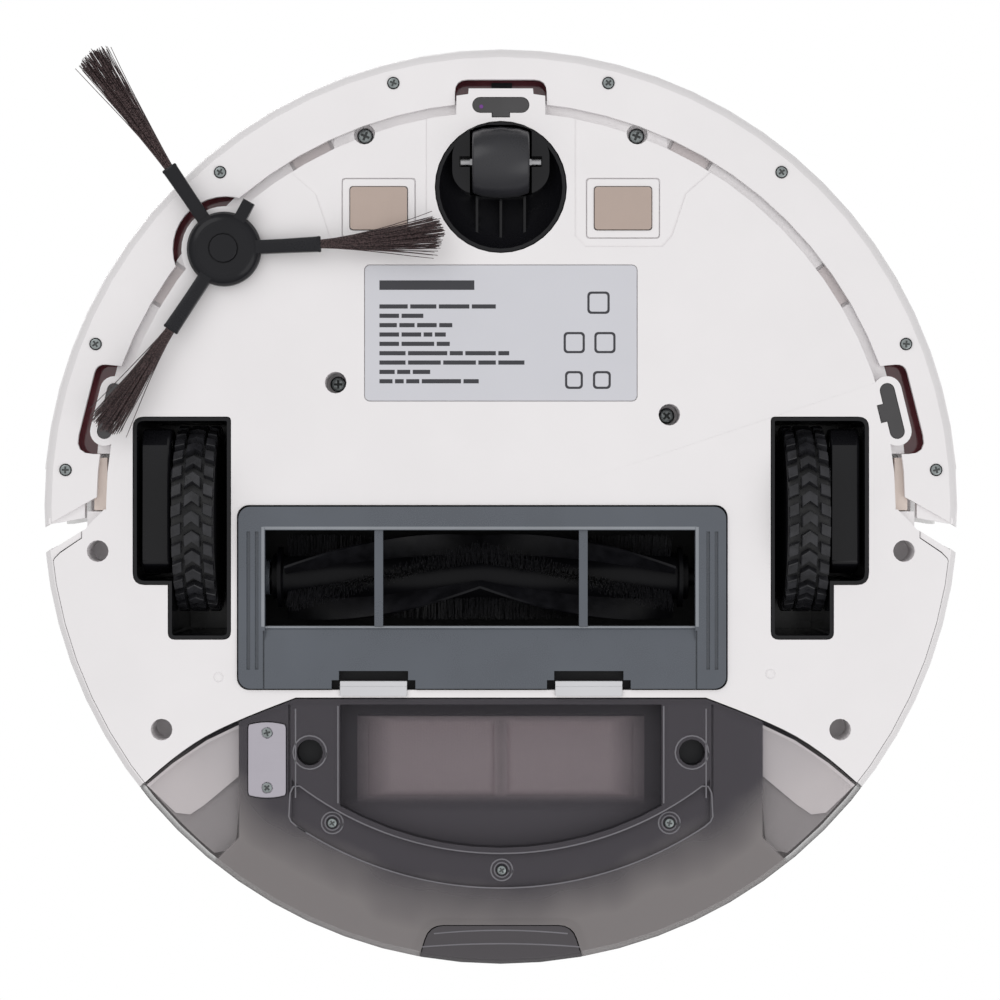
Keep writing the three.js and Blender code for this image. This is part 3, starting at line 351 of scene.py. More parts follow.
SLATE = moulded("slate_satin", srgb(82, 87, 95), 0.3, tone=0.1, uneven=0.08)
# paler slate for the strips and rod round the brush mouth: painted highlights
SLATE_HIGHLIGHT = moulded("slate_painted_highlight", srgb(134, 138, 144), 0.22, tone=0.1)
CASTER = moulded("caster_black", srgb(44, 44, 48), 0.3, tone=0.2, Specular_IOR_Level=0.4)
TYRE_RUBBER = rubber("tyre_rubber", srgb(38, 38, 41), 0.3, Specular_IOR_Level=0.3)
# darker rubber for the tyre between its blocks: painted shade in the grooves
TYRE_FLOOR_SHADED = rubber("tyre_floor_painted_shade", srgb(20, 20, 22), 0.6)
BLADE_RUBBER = rubber("blade_rubber", srgb(18, 18, 21), 0.4, Specular_IOR_Level=0.15)
BEIGE = moulded("beige_pad", srgb(226, 212, 203), 0.7, grain=0.5, depth=0.02, tone=0.04)
CONTACT = metal("contact_plate", srgb(180, 164, 155), 0.42, grain=(0.25, 60.0, 1.0), tone=0.03)
STEEL = metal("tank_plate_steel", srgb(176, 172, 180), 0.45, grain=(30.0, 0.4, 1.0), tone=0.03)
ZINC = metal("screw_zinc", srgb(138, 144, 144), 0.34, grain=(1.0, 1.0, 1.0), tone=0.2)
AXLE = metal("axle_steel", srgb(176, 176, 178), 0.25, grain=(30.0, 0.3, 0.3))
MOTOR = metal("motor_steel", srgb(140, 140, 144), 0.35, grain=(30.0, 0.3, 0.3))
SMOKE = smoke("tank_smoke", srgb(82, 79, 84), srgb(142, 137, 137), 0.7, 0.36, 0.16)
SMOKE_BUTTON = smoke("tank_smoke_button", srgb(82, 79, 84), srgb(91, 88, 91), 0.8, 0.8, 0.8)
TANK_LID = moulded("tank_lid_dark", srgb(58, 57, 61), 0.4, tone=0.15)
WING_LIGHT = moulded("wing_light", srgb(233, 226, 228), 0.5, tone=0.02)
WING_GREY = moulded("wing_grey", srgb(156, 151, 153), 0.5, tone=0.06)
# paler plastic for the raised lines of the tank: real lines, painted highlight in their colour
TANK_LINE_HIGHLIGHT = moulded("tank_line_painted_highlight", srgb(118, 116, 121), 0.2, tone=0.1, Specular_IOR_Level=0.3)
PAD = moulded("buffer_pad", srgb(230, 222, 222), 0.7, tone=0.04)
# a violet disc that is not lit: painted glint of the sensor's lamp
LED_GLINT = moulded("led_painted_glint", srgb(112, 52, 138), 0.3, tone=0.1)
RED = gloss_dark("ir_red", srgb(112, 60, 66))
SENSOR = gloss_dark("sensor_dark", srgb(42, 40, 42))
BRISTLE = hair("side_bristles", srgb(38, 30, 31), srgb(92, 76, 76))
ROLLER_BRISTLE = hair("roller_bristles", srgb(13, 13, 16), srgb(40, 40, 44))
FILTER = filter_cloth("filter_pleats")
BOARD = board("circuit_board")
BATTERY = moulded("battery_wrap", srgb(40, 66, 120), 0.3, grain=1.5, depth=0.01, tone=0.1)

NODE_LOOKS = {
    "chassis_bottom": WHITE, "upper_housing": WHITE, "bumper_shell": WHITE, "bumper_skirt": WHITE,
    "top_cover": GLOSS, "turret_base": GLOSS, "turret_cap": GLOSS, "rating_plate": LABEL,
    "power_button": BUTTON, "home_button": BUTTON, "guard_latch_left": BUTTON, "guard_latch_right": BUTTON,
    "fan_impeller": BUTTON, "charge_contact_left": CONTACT, "charge_contact_right": CONTACT,
    "wheel_well_left": BLACK_GLOSS, "wheel_well_right": BLACK_GLOSS, "wheel_arm_left": ARM,
    "wheel_arm_right": ARM, "wheel_hub_left": BLACK_DEEP, "wheel_hub_right": BLACK_DEEP,
    "caster_swivel": BLACK_GLOSS, "side_brush_hub": HUB, "side_brush_cap": HUB, "brush_chamber": BLACK_DEEP,
    "fan_housing": BLACK_DEEP, "lidar_rotor": BLACK_DEEP, "tank_lid": TANK_LID, "caster_wheel": CASTER,
    "brush_guard": SLATE, "brush_bearing": SLATE, "tank_shell": SMOKE, "tank_button": SMOKE_BUTTON,
    "bumper_ir_window": RED, "cliff_window_front": SENSOR, "cliff_window_left": SENSOR,
    "cliff_window_right": SENSOR, "bumper_pad_left": BEIGE, "bumper_pad_right": BEIGE, "caster_axle": AXLE,
    "arm_pin_left": AXLE, "arm_pin_right": AXLE, "tank_contact_plate": STEEL, "drive_motor_left": MOTOR,
    "drive_motor_right": MOTOR, "side_brush_motor": MOTOR, "brush_motor": MOTOR, "dust_filter": FILTER,
    "main_board": BOARD, "battery_pack": BATTERY,
}

# ---------------------------------------------------------------- shapes


class Shape:
    """Closed bodies gathered into one mesh, in millimetres."""

    def __init__(self):
        self.points = []
        self.faces = []

    def add(self, points, faces):
        first = len(self.points)
        self.points += [Vector(p) for p in points]
        self.faces += [[first + i for i in face] for face in faces]

    def loft(self, rings, closed=False):
        """Joins rings of equally many points. An open loft is capped at both ends."""
        count = len(rings[0])
        faces = []
        pairs = len(rings) if closed else len(rings) - 1
        for r in range(pairs):
            here, there = r * count, (r + 1) % len(rings) * count
            for k in range(count):
                after = (k + 1) % count
                faces.append([here + k, here + after, there + after, there + k])
        if not closed:
            faces.append(list(range(count))[::-1])
            faces.append(list(range((len(rings) - 1) * count, len(rings) * count)))
        self.add([p for ring in rings for p in ring], faces)

    def tube(self, path, radii, sides, flat=1.0):
        """A rod along a path; flat squeezes its section."""
        rings = []
        for i, point in enumerate(path):
            ahead = path[min(i + 1, len(path) - 1)] - path[max(i - 1, 0)]
            along = ahead.normalized()
            side = along.cross(Vector((0, 0, 1)))
            side = side.normalized() if side.length > 1e-3 else Vector((1, 0, 0))
            up = side.cross(along)
            ring = []
            for k in range(sides):
                a = TAU * k / sides
                ring.append(point + radii[i] * (math.cos(a) * side + flat * math.sin(a) * up))
            rings.append(ring)
        self.loft(rings)

    def box(self, low, high):
        (x0, y0, z0), (x1, y1, z1) = low, high
        self.loft([[(x0, y0, z), (x1, y0, z), (x1, y1, z), (x0, y1, z)] for z in (z0, z1)])

    def turned(self, outline, sides, centre, axis="Z", closed=False):
        """Turns an outline of (radius, height) points about an axis through centre."""
        rings = []
        for k in range(sides):
            a = TAU * k / sides
            c, s = math.cos(a), math.sin(a)
            if axis == "Z":
                ring = [Vector((r * c, r * s, h)) for r, h in outline]
            else:
                ring = [Vector((h, r * c, r * s)) for r, h in outline]
            rings.append([Vector(centre) + p for p in ring])
        self.loft_round(rings, closed)

    def loft_round(self, rings, closed):
        """A full turn of open or closed outlines; an open one starts and ends on the axis."""
        count, turns = len(rings[0]), len(rings)
        points = [p for ring in rings for p in ring]
        faces = []
        for r in range(turns):
            here, there = r * count, (r + 1) % turns * count
            for k in range(count if closed else count - 1):
                after = (k + 1) % count
                faces.append([here + k, here + after, there + after, there + k])
        self.add(points, faces)


def shade(obj, angle):
    obj.data.polygons.foreach_set("use_smooth", [True] * len(obj.data.polygons))
    obj.data.set_sharp_from_angle(angle=math.radians(angle))


def make(name, shape, look, body, replaces=(), bevel=0.0, angle=32.0):
    """Turns a shape into a piece that rides on a body."""
    mesh = bpy.data.meshes.new(name)
    mesh.from_pydata([p * MM for p in shape.points], [], shape.faces)
    obj = bpy.data.objects.new(name, mesh)
    bpy.context.scene.collection.objects.link(obj)
    weld = obj.modifiers.new("weld", "WELD")
    weld.merge_threshold = 1e-6
    dg = bpy.context.evaluated_depsgraph_get()
    obj.data = bpy.data.meshes.new_from_object(obj.evaluated_get(dg))
    obj.data.name = name
    obj.modifiers.clear()
    turn_outward(obj.data)
    obj.data.materials.clear()
    obj.data.materials.append(look)
    shade(obj, angle)
    if bevel:
        soften(obj, bevel)
    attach(obj, body)
    if replaces:
        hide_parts(*replaces)


def turn_outward(mesh):
    """Makes every face point away from its body."""
    bm = bmesh.new()
    bm.from_mesh(mesh)
    bmesh.ops.recalc_face_normals(bm, faces=bm.faces)
    bm.to_mesh(mesh)
    bm.free()


def soften(obj, width, segments=2):
    """Small round edges, as a mould leaves them."""
    bevel = obj.modifiers.new("round_edges", "BEVEL")
    bevel.width = width * MM
    bevel.segments = segments
    bevel.limit_method = "ANGLE"
    bevel.angle_limit = math.radians(38)
    weighted = obj.modifiers.new("even_shading", "WEIGHTED_NORMAL")
    weighted.keep_sharp = True
    weighted.weight = 60


def arc(centre, radius, start, end, steps):
    """Points along an arc; angles in degrees."""
    points = []
    for k in range(steps + 1):
        a = math.radians(start + (end - start) * k / steps)
        points.append(Vector((centre[0] + radius * math.cos(a), centre[1] + radius * math.sin(a))))
    return points


def slab(shape, outline, low, high):
    """An outline in plan, raised from low to high."""
    shape.loft([[(x, y, z) for x, y in outline] for z in (low, high)])


def rounded(x0, x1, y0, y1, r, steps=4):
    """A rectangle with round corners of radius r."""
    corners = [((x1 - r, y0 + r), -90), ((x1 - r, y1 - r), 0), ((x0 + r, y1 - r), 90),
               ((x0 + r, y0 + r), 180)]
    return [tuple(p) for centre, a in corners for p in arc(centre, r, a, a + 90, steps)]


# ---------------------------------------------------------------- CAD nodes: looks and round edges

EDGES = {"chassis_bottom": 0.3, "upper_housing": 0.3, "bumper_shell": 0.3, "bumper_skirt": 0.25,
         "top_cover": 0.4, "turret_cap": 0.8, "turret_base": 0.5, "brush_guard": 0.35,
         "wheel_well_left": 0.4, "wheel_well_right": 0.4, "caster_swivel": 0.35, "caster_wheel": 0.6,
         "wheel_arm_left": 3.2, "wheel_arm_right": 3.2, "side_brush_hub": 0.3, "side_brush_cap": 0.3,
         "tank_shell": 0.3, "tank_button": 0.4, "tank_lid": 0.4, "power_button": 0.3, "home_button": 0.3,
         "charge_contact_left": 0.3, "charge_contact_right": 0.3, "rating_plate": 0.1,
         "tank_contact_plate": 0.25, "guard_latch_left": 0.2, "guard_latch_right": 0.2,
         "cliff_window_front": 0.2, "cliff_window_left": 0.2, "cliff_window_right": 0.2}


def shading_group():
    """Joins a node's faces and marks its sharp edges, without touching the node's own mesh."""
    group = bpy.data.node_groups.new("edge_shading", "GeometryNodeTree")
    group.interface.new_socket("Geometry", in_out="INPUT", socket_type="NodeSocketGeometry")
    group.interface.new_socket("Geometry", in_out="OUTPUT", socket_type="NodeSocketGeometry")
    nodes, links = group.nodes, group.links
    source, result = nodes.new("NodeGroupInput"), nodes.new("NodeGroupOutput")
    weld = nodes.new("GeometryNodeMergeByDistance")
    weld.inputs["Distance"].default_value = 2e-6
    smooth = nodes.new("GeometryNodeSetShadeSmooth")
    sharp = nodes.new("GeometryNodeSetShadeSmooth")
    sharp.domain = "EDGE"
    sharp.inputs["Shade Smooth"].default_value = False
    angle = nodes.new("GeometryNodeInputMeshEdgeAngle")
    steep = nodes.new("FunctionNodeCompare")
    steep.operation = "GREATER_THAN"
    steep.inputs["B"].default_value = math.radians(32)
    links.new(source.outputs[0], weld.inputs["Geometry"])
    links.new(weld.outputs[0], smooth.inputs["Geometry"])
    links.new(smooth.outputs[0], sharp.inputs["Geometry"])
    links.new(angle.outputs["Unsigned Angle"], steep.inputs["A"])
    links.new(steep.outputs["Result"], sharp.inputs["Selection"])
    links.new(sharp.outputs[0], result.inputs[0])
    return group


def dress_nodes():
    """Gives each CAD node its material, its shading and its round edges."""
    group = shading_group()
    for name, look in NODE_LOOKS.items():
        node = NODES[name]
        node.data.materials.clear()
        node.data.materials.append(look)
        shading = node.modifiers.new("edge_shading", "NODES")
        shading.node_group = group
        if name in EDGES:
            soften(node, EDGES[name], 4 if EDGES[name] > 1 else 2)


# ---------------------------------------------------------------- screws


def rim_circle(radius):
    """Points of a small circle about the origin."""
    steps = 20
    return [(radius * math.cos(TAU * k / steps), radius * math.sin(TAU * k / steps)) for k in range(steps)]


def screw_head(shape, shadow, seat, x, y, z, radius, turn):
    """A pan head that faces down, a dark piece on the floor of its cross recess that is painted shade, and a
    dark ring round the head that is painted shadow.
    """
    arm, width, depth = 0.62 * radius, 0.17 * radius, 0.7
    cross = []
    for quarter in range(4):
        a = math.radians(turn + 90 * quarter)
        u, v = Vector((math.cos(a), math.sin(a))), Vector((-math.sin(a), math.cos(a)))
        cross += [u * arm - v * width, u * arm + v * width, u * width + v * width]
    # the rim has as many points as the cross, so that the two join ring to ring
    rim = []
    for p in cross:
        rim.append(p.normalized() if p.length > 0 else p)
    centre = Vector((x, y))

    def ring(points, by, height):
        return [(*(centre + p * by), z + height) for p in points]

    shape.loft([ring(rim, radius * 0.98, 1.2), ring(rim, radius, 0.5), ring(rim, radius * 0.9, 0.12),
                ring(rim, radius * 0.72, 0.0), ring(cross, 1.0, 0.0), ring(cross, 0.75, depth)])
    # painted shade on the floor of the cross recess
    shadow.loft([ring(cross, 0.95, 0.22), ring(cross, 0.72, depth + 0.1)])
    # a dark ring round the head: painted shadow
    outer, inner = rim_circle(radius + 0.25), rim_circle(radius - 0.06)
    seat.loft([[(x + u, y + v, z + h) for u, v in points]
               for points, h in ((outer, 0.5), (outer, 0.95), (inner, 0.95), (inner, 0.5))], closed=True)


def add_screws():
    """Four groups of small screws: each head is a piece, and each group shares one piece of painted shade for
    its cross recesses and one of painted shadow rings round its heads.
    """
    random.seed(3)
    groups = {
        "skirt_screws": ("bumper", [(s * x, y, 12.3, 2.0) for x, y in SKIRT_SCREWS for s in (-1, 1)]),
        "base_screws": ("body", [(x, y, z, 2.6) for x, y, z in DEEP_SCREWS]),
        "plate_screws": ("tank", [(x, y, 10.5, 1.9) for x, y in PLATE_SCREWS]),
        "channel_screws": ("tank", [(x, y, 11.6, 1.7) for x, y in CHANNEL_SCREWS]),
    }
    for name, (body, places) in groups.items():
        shadow, seat = Shape(), Shape()
        for i, (x, y, z, radius) in enumerate(places, 1):
            shape = Shape()
            screw_head(shape, shadow, seat, x, y, z, radius, random.uniform(0, 90))
            make(f"{name[:-1]}_{i}", shape, ZINC, body, angle=25)
        make(f"{name[:-1]}_recess_shadows", shadow, RECESS_SHADE, body)
        make(f"{name[:-1]}_seat_shadows", seat, BLACK_DEEP, body)


# ---------------------------------------------------------------- tyres


def on_tyre(centre_x, across, around, radius):
    """A point of the tread: across in millimetres, around in degrees."""
    a = math.radians(around)
    return Vector((centre_x + across, WHEEL_Y + radius * math.sin(a), WHEEL_Z - radius * math.cos(a)))


def tread_block(shape, x, outline, low, high):
    """One tread block, narrower at its top, from its outline of (across, around) points."""
    middle = [sum(p[k] for p in outline) / len(outline) for k in (0, 1)]
    rings = []
    for radius, by in ((low, 1.0), (high - 0.25, 0.94), (high, 0.84)):
        rings.append([on_tyre(x, middle[0] + (a - middle[0]) * by, middle[1] + (b - middle[1]) * by, radius)
                      for a, b in outline])
    shape.loft(rings)


def add_tyres():
    """A carcass with a chevron row in the middle and a row of blocks along each edge; the carcass is darker
    rubber than the blocks, a painted shade for the grooves between them.
    """
    pitch = 360 / TYRE["rows"]
    for word, x in WHEELS.items():
        shape, carcass = Shape(), Shape()
        half, floor, seat = TYRE["half"], TYRE["floor"], TYRE["seat"]
        carcass.turned([(seat, -half), (floor - 0.8, -half), (floor, -half + 0.8), (floor, half - 0.8),
                        (floor - 0.8, half), (seat, half)], 96, (x, WHEEL_Y, WHEEL_Z), "X", closed=True)
        for i in range(TYRE["rows"]):
            a = i * pitch
            top = TYRE["radius"]
            chevron = [(-3.0, a + 5.3), (0, a + 1.4), (3.0, a + 5.3), (3.0, a - 2.2), (0, a - 5.8),
                       (-3.0, a - 2.2)]
            tread_block(shape, x, chevron, floor - 0.2, top)
            for s in (-1, 1):
                b = a + pitch / 2
                block = [(s * 3.8, b - 4.4), (s * 7.4, b - 1.8), (s * 7.4, b + 5.6), (s * 3.8, b + 3.2)]
                tread_block(shape, x, block, floor - 0.9, top - 0.05)
        body = f"wheel_{word}"
        make(f"tyre_carcass_{word}", carcass, TYRE_FLOOR_SHADED, body, [f"tyre_{word}"], angle=25)
        make(f"tyre_tread_{word}", shape, TYRE_RUBBER, body, angle=25)


# ---------------------------------------------------------------- roller brush


def roller_angle(x, start):
    """The blades run as a V that points to the front: their angle at x, in degrees."""
    middle = (ROLLER["left"] + ROLLER["right"]) / 2
    half = (ROLLER["right"] - ROLLER["left"]) / 2
    return start + ROLLER["turn"] * abs(x - middle) / half


def on_roller(x, radius, degrees):
    a = math.radians(degrees)
    return Vector((x, ROLLER["y"] + radius * math.sin(a), ROLLER["z"] - radius * math.cos(a)))


def add_roller_core():
    """The core with its end discs and shaft ends."""
    left, right = ROLLER["left"], ROLLER["right"]
    core = Shape()
    core.turned([(0, left - 9.5), (3, left - 9.5), (3, left - 4), (8, left - 4), (8, left - 2),
                 (11, left - 2), (11, left - 0.6), (ROLLER["core"], left), (ROLLER["core"], right),
                 (11, right + 0.6), (11, right + 2), (8, right + 2), (8, right + 4), (3, right + 4),
                 (3, right + 12), (0, right + 12)], 40, (0, ROLLER["y"], ROLLER["z"]), "X")
    make("roller_core", core, ROLLER_CORE, "roller_brush", ["main_brush"])


def add_roller_blades():
    """Three rubber blades, thinner towards their edges."""
    left, right = ROLLER["left"], ROLLER["right"]
    blades, steps = Shape(), 56
    for start in ROLLER_BLADES:
        rings = []
        for i in range(steps + 1):
            x = left + 1 + (right - left - 2) * i / steps
            a = roller_angle(x, start)
            rings.append([on_roller(x, 7.6, a - 6), on_roller(x, 11, a - 3.2), on_roller(x, 15.6, a - 1.6),
                          on_roller(x, 15.6, a + 1.6), on_roller(x, 11, a + 3.2), on_roller(x, 7.6, a + 6)])
        blades.loft(rings)
    make("roller_blades", blades, BLADE_RUBBER, "roller_brush", angle=40)


def add_roller_bristles():
    """A double row of bristles between each two blades."""
    random.seed(11)
    left, right = ROLLER["left"], ROLLER["right"]
    bristles, count = Shape(), ROLLER_TUFTS["count"]
    for start in ROLLER_BRISTLES:
        for row in (-4.5, 4.5):
            for i in range(count):
                x = left + 2 + (right - left - 4) * (i + 0.5 * (row > 0)) / count
                for _ in range(ROLLER_TUFTS["bristles"]):
                    lean, swing = random.uniform(-1.1, 1.1), random.uniform(-8, 8)
                    a = roller_angle(x, start) + row
                    root = on_roller(x + 0.3 * lean, 7.7, a + 0.3 * swing)
                    tip = on_roller(x + lean, random.uniform(14.6, 15.7), a + swing)
                    bristles.tube([root, tip], [0.17, 0.1], 3)
    make("roller_bristles", bristles, ROLLER_BRISTLE, "roller_brush", angle=80)


# ---------------------------------------------------------------- side brush


def add_tuft(number, turn):
    """The bristles of one arm, fanned out and bent aside towards their tips."""
    random.seed(20 + number)
    reach, bend = BRUSH_REACH[number - 1], BRUSH_BEND[number - 1]
    shape, steps = Shape(), 6
    for _ in range(TUFT["bristles"]):
        u, v = random.uniform(-1, 1), random.uniform(-1, 1)
        stray = 1.7 if random.random() < 0.06 else 1.0
        length = reach - abs(u) * 2.0 - random.uniform(0, 3.0)
        path = []
        for k in range(steps + 1):
            t = k / steps
            r = TUFT["start"] + (length - TUFT["start"]) * t
            fan = (1.3 + 4.4 * stray * t ** 1.3) * u + bend * t * t
            bow = 0.7 * math.sin(3 * t + 5 * v) * t
            z = TUFT["root_z"] + 1.0 * v + (TUFT["tip_z"] - TUFT["root_z"] + 0.3) * t ** 1.2 + 0.6 * v * t
            path.append(BRUSH + turn @ Vector((r, fan + bow, max(z, 0.35))))
        shape.tube(path, [0.19 - 0.08 * k / steps for k in range(steps + 1)], 4)
    make(f"side_bristles_{number}", shape, BRISTLE, "side_brush",
         [f"side_brush_tuft_{number}"], angle=80)


def add_sleeve(number, turn):
    """The rubber sleeve of one arm."""
    rings = []
    for r, wide, low, high in SLEEVE:
        outline = rounded(-wide, wide, low, high, 0.7, 2)
        rings.append([BRUSH + turn @ Vector((r, y, z)) for y, z in outline])
    sleeve = Shape()
    sleeve.loft(rings)
    make(f"side_brush_sleeve_{number}", sleeve, HUB, "side_brush", angle=40)


def add_brush_dome():
    """The rounded face of the hub."""
    dome = Shape()
    dome.turned([(5.6, 9.0), (5.6, 4.55), (8.8, 4.5), (10.6, 4.75), (12.0, 5.4), (12.9, 6.5), (13.4, 8.2),
                 (13.4, 9.0)], 48, BRUSH, closed=True)
    make("side_brush_dome", dome, HUB, "side_brush", angle=40)


def add_side_brush():
    """Three arms, each with its bristles and its sleeve, and the face of the hub."""
    for number, angle in enumerate(BRUSH_ARMS, 1):
        turn = Matrix.Rotation(math.radians(angle), 3, "Z")
        add_tuft(number, turn)
        add_sleeve(number, turn)
    add_brush_dome()


# ---------------------------------------------------------------- brush guard


def add_guard_details():
    """Paler strips round the brush mouth, and a pale rod along the lip at its rear: painted highlights on the
    guard's edges.
    """
    edges = Shape()
    left, right, front, back, low = (MOUTH[key] for key in ("left", "right", "front", "back", "low"))
    edges.box((left - 1.3, front - 1.2, low), (left - 0.1, back, low + 0.4))
    edges.box((right + 0.1, front - 1.2, low), (right + 1.3, back, low + 0.4))
    edges.box((left - 0.1, front - 1.2, low), (right + 0.1, front - 0.2, low + 0.4))
    # a pale rod along the rear lip: painted highlight
    lip = [Vector((x, back + 0.2, 11.6)) for x in (left - 0.6, right + 0.6)]
    edges.tube(lip, [0.5, 0.5], 8)
    make("guard_mouth_painted_highlights", edges, SLATE_HIGHLIGHT, "guard", bevel=0.12)


# ---------------------------------------------------------------- tank


def bead(shape, points, z=11.3):
    """A fine raised line on the underside of the tank, painted paler as a highlight along the edge it
    outlines.
    """
    width, height = 0.55, 0.45
    path = [Vector((x, y, z)) for x, y in points]
    shape.tube(path, [width / 2] * len(path), 6, height / width)


def channel_outline():
    """The long arc channel with its rounded corners."""
    outer = [tuple(p) for p in arc(CHANNEL_CENTRE, CHANNEL["outer"], 123.6, 56.4, 40)]
    inner = [tuple(p) for p in arc(CHANNEL_CENTRE, CHANNEL["inner"], 53.0, 127.0, 40)]
    right = [(75.2, 113.0), (76.0, 111.2), (75.6, 102.8), (74.4, 100.4)]
    left = [(-x, y) for x, y in reversed(right)]
    return outer + right + inner + left


def circle_bead(shape, x, y, radius, z=11.3):
    """A raised line that runs round a circle; it overlaps itself by one step."""
    circle = rim_circle(radius)
    bead(shape, [(x + u, y + v) for u, v in circle + circle[:2]], z=z)


def add_tank_lines():
    """The moulded lines of the tank's underside, and the grips of its button, as raised lines in a paler
    plastic: the pale colour is a painted highlight on their edges.
    """
    lines = Shape()
    outline = channel_outline()
    bead(lines, outline + outline[:2])
    for x, y in CHANNEL_SCREWS:
        for radius in (2.6, 3.9):
            circle_bead(lines, x, y, radius, z=12.9)
    for side in (-1, 1):
        circle_bead(lines, side * SOCKET[0], SOCKET[1], 6.0)
        bead(lines, [(side * 73.6, 72.5), (side * 73.6, 104.5)])
        bead(lines, [(side * 58.4, 71.5), (side * 58.4, 106.4)])
    for y, half in BUTTON_GRIPS:
        bead(lines, [(half * k / 8, y - 1.2 + 1.2 * (k / 8) ** 2) for k in range(-8, 9)], z=11.6)
    make("tank_moulded_lines_painted_highlight", lines, TANK_LINE_HIGHLIGHT, "tank", angle=60)


def add_tank_inside():
    """What shows through the smoke plastic on each side: the wing's panel and back, ribs and the socket."""
    for word, side in (("left", -1), ("right", 1)):
        light, grey, rib, socket, marks = (Shape() for _ in range(5))
        bright = [(94.2, 78.6), (94.2, 97.0), (106.5, 107.3), (111.7, 110.8), (117.0, 110.2), (127.4, 100.2),
                  (118.0, 92.4), (105.9, 84.2)]
        slab(light, [(side * x, y) for x, y in bright], 14.9, 15.4)
        rim = [tuple(p) for p in arc((0, 0), 161.9, 38.4, 50.4, 8)]
        inner = [(98.6, 124.0), (95.8, 121.0), (94.2, 115.0), (93.8, 79.0), (105.9, 84.8), (118.0, 93.0)]
        slab(grey, [(side * x, y) for x, y in rim + inner], 16.2, 16.8)
        path = [(92.8, 79.6), (93.0, 100.0), (94.4, 119.0), (95.6, 123.6), (98.4, 126.0), (101.6, 126.4)]
        rib.tube([Vector((side * x, y, 15.4)) for x, y in path], [0.65] * len(path), 6)
        place = (side * SOCKET[0], SOCKET[1], 0)
        socket.turned([(0, 16.0), (4.4, 16.0), (4.4, 16.8), (0, 16.8)], 32, place)
        for x, y in ((70.5, 137.7), (60.3, 143.4)):
            marks.tube([Vector((side * (x + 1.4), y - 3.2, 15.3)), Vector((side * (x - 1.2), y + 3.4, 15.3))],
                       [0.6, 0.6], 6)
        make(f"tank_wing_panel_{word}", light, WING_LIGHT, "tank")
        make(f"tank_wing_back_{word}", grey, WING_GREY, "tank")
        make(f"tank_wing_rib_{word}", rib, BLACK_DEEP, "tank", angle=60)
        make(f"tank_socket_{word}", socket, BLACK_DEEP, "tank")
        make(f"tank_rib_marks_{word}", marks, BLACK_DEEP, "tank", angle=60)


# ---------------------------------------------------------------- small parts of the base and the front


def add_base_pips():
    """The small round marks that the mould leaves at the rear of the bottom cover."""
    pips = Shape()
    for x, y in BASE_PIPS:
        outline = [(0, 10.8), (0.8, 10.78), (1.3, 10.62), (1.7, 10.8), (1.9, 11.05), (0, 11.05)]
        pips.turned(outline, 24, (x, y, 0))
    make("base_pips", pips, WHITE, "body", angle=40)


def add_buffer_pads():
    """The small pads above the bumper skirt."""
    for word, side in (("left", -1), ("right", 1)):
        for number, (start, end) in enumerate(BUFFER_ANGLES, 1):
            edge = [tuple(p) for p in arc((0, 0), BUFFER["outer"], start, end, 8)]
            back = [tuple(p) for p in arc((0, 0), BUFFER["inner"], end, start, 8)]
            pad = Shape()
            slab(pad, [(side * x, -y) for x, y in edge + back], BUFFER["low"], BUFFER["high"])
            make(f"buffer_pad_{word}_{number}", pad, PAD, "body")


def add_front_sensors():
    """A violet disc in the front sensor window, a painted glint of its lamp, and the dark receiver that rides
    on the bumper.
    """
    led = Shape()
    led.turned([(0, 10.95), (0.55, 10.97), (0.8, 11.15), (0, 11.2)], 20, (-7.0, -143.3, 0))
    make("cliff_led_glint", led, LED_GLINT, "body")
    receiver = Shape()
    receiver.box((-3.4, -153.2, 21.2), (4.1, -149.6, 21.9))
    make("ir_receiver", receiver, BLACK_DEEP, "bumper")


# ---------------------------------------------------------------- label


def add_label():
    """Plain bars and squares stand for the printing: there is no lettering and no mark."""
    shape = Shape()
    top, low, line = 10.95, 10.86, 0.8

    def bar(x0, y0, width, height):
        shape.box((x0, y0, low), (x0 + width, y0 + height, top))

    bar(-43.5, -81.0, 34.0, 3.4)
    lengths = [[13, 12, 14, 11], [9, 10], [8, 7, 9, 6], [9, 9, 4, 5], [9, 15, 6], [12, 18, 6, 14, 5],
               [12, 15, 15, 8, 12], [7, 6, 8], [6, 4, 6, 18, 7]]
    for row, words in enumerate(lengths):
        x = -43.5
        for width in words:
            bar(x, -72.4 + 3.35 * row, width * 0.78, 1.5)
            x += width * 0.78 + 0.9
    for x, y, size in ((31.0, -77.0, 8.0), (22.5, -62.5, 7.6), (33.5, -62.5, 7.6), (23.0, -48.5, 6.4),
                       (33.0, -48.5, 6.4)):
        outer = rounded(x, x + size, y, y + size, 1.4)
        inner = rounded(x + line, x + size - line, y + line, y + size - line, 0.9)
        ring = [[(a, b, low) for a, b in outer], [(a, b, top) for a, b in outer],
                [(a, b, top) for a, b in inner], [(a, b, low) for a, b in inner]]
        shape.loft(ring, closed=True)
    make("label_print", shape, PRINT, "body", angle=30)


# ---------------------------------------------------------------- stage, lights and camera


def add_floor():
    mesh = bpy.data.meshes.new("floor")
    mesh.from_pydata([(-4, -4, 0), (4, -4, 0), (4, 4, 0), (-4, 4, 0)], [], [(0, 1, 2, 3)])
    floor = bpy.data.objects.new("floor", mesh)
    bpy.context.scene.collection.objects.link(floor)
    mesh.materials.append(floor_look())
    floor.visible_shadow = False
    floor.visible_diffuse = False
    floor.visible_glossy = False
    floor.visible_transmission = False


def add_area_light(name, place, size, power):
    """A round lamp that points at the middle of the robot, a little above the floor."""
    data = bpy.data.lights.new(name, "AREA")
    data.shape = "DISK"
    data.size = size
    data.energy = power
    light = bpy.data.objects.new(name, data)
    bpy.context.scene.collection.objects.link(light)
    light.location = place
    light.rotation_mode = "QUATERNION"
    light.rotation_quaternion = (Vector((0, 0, 0.03)) - Vector(place)).to_track_quat("-Z", "Y")
    light.visible_camera = False


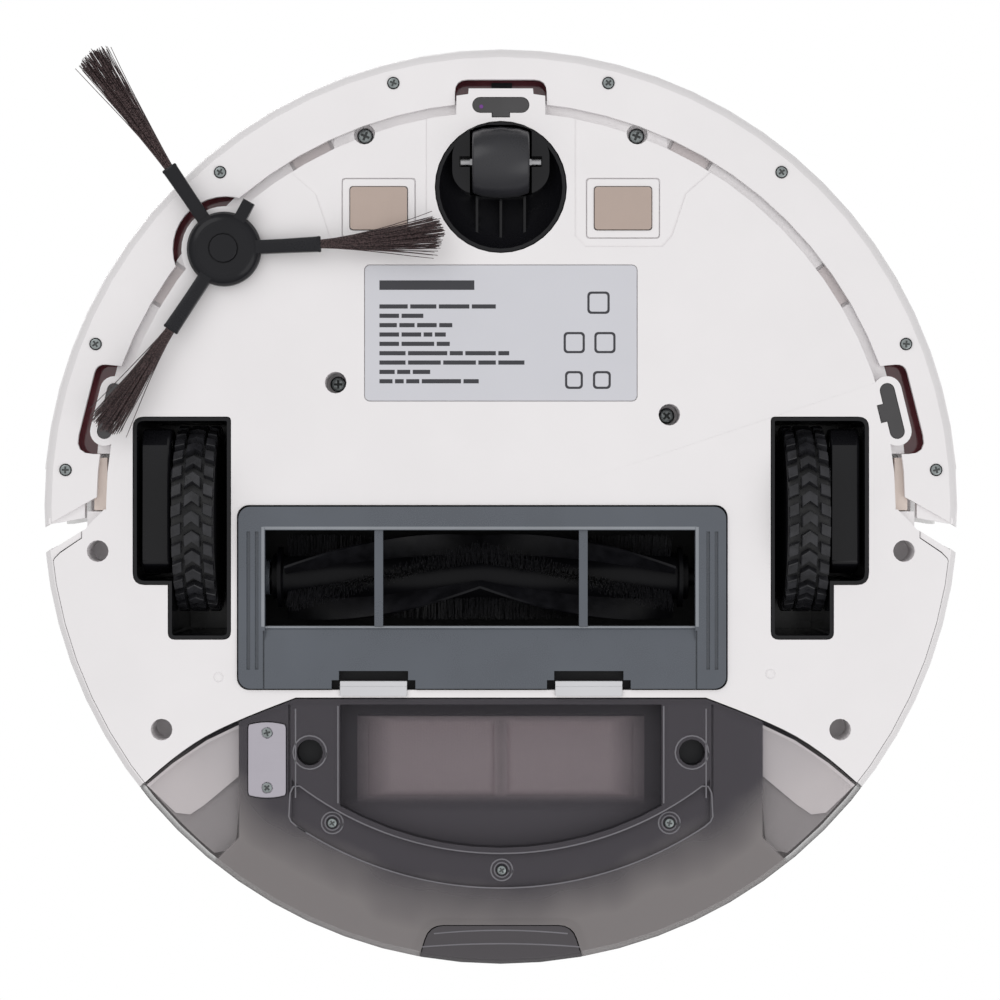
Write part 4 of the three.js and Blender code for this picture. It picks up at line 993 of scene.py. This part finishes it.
def add_world():
    """Soft studio light, weaker from the sides than from above and below; the camera sees plain white."""
    world = bpy.data.worlds.new("studio")
    bpy.context.scene.world = world
    world.use_nodes = True
    tree = world.node_tree
    back = tree.nodes["Background"]
    back.inputs["Color"].default_value = (1, 1, 1, 1)
    direction = tree.nodes.new("ShaderNodeTexCoord")
    parts = tree.nodes.new("ShaderNodeSeparateXYZ")
    steep = tree.nodes.new("ShaderNodeMath")
    steep.operation = "ABSOLUTE"
    light = tree.nodes.new("ShaderNodeMapRange")
    light.inputs["To Min"].default_value = 0.35
    light.inputs["To Max"].default_value = 1.03
    path = tree.nodes.new("ShaderNodeLightPath")
    strength = tree.nodes.new("ShaderNodeMix")
    strength.inputs["B"].default_value = 1.0
    tree.links.new(direction.outputs["Generated"], parts.inputs[0])
    tree.links.new(parts.outputs["Z"], steep.inputs[0])
    tree.links.new(steep.outputs[0], light.inputs["Value"])
    tree.links.new(light.outputs[0], strength.inputs["A"])
    tree.links.new(path.outputs["Is Camera Ray"], strength.inputs["Factor"])
    tree.links.new(strength.outputs[0], back.inputs["Strength"])


def add_camera():
    """Below the robot, looking straight up at its underside with the bumper at the top of the picture."""
    data = bpy.data.cameras.new("camera")
    data.lens = 101.56
    data.sensor_width = 36.0
    camera = bpy.data.objects.new("camera", data)
    bpy.context.scene.collection.objects.link(camera)
    camera.location = (-0.0003, -0.0023, -1.0)
    camera.rotation_euler = (math.pi, 0, 0)
    bpy.context.scene.camera = camera


add_camera()
add_world()
add_area_light("key_below", (-0.8, -0.95, -1.0), 1.1, 3.5)
add_area_light("fill_below", (0.9, 0.6, -1.1), 1.2, 3.6)
add_area_light("key_above", (-0.6, -0.8, 1.8), 1.0, 5.0)
add_area_light("fill_above", (1.3, 0.6, 1.2), 1.4, 3.0)
add_floor()

dress_nodes()
add_screws()
add_tyres()
add_roller_core()
add_roller_blades()
add_roller_bristles()
add_side_brush()
add_guard_details()
add_tank_lines()
add_tank_inside()
add_base_pips()
add_buffer_pads()
add_front_sensors()
add_label()

bpy.context.scene.view_settings.view_transform = "Standard"
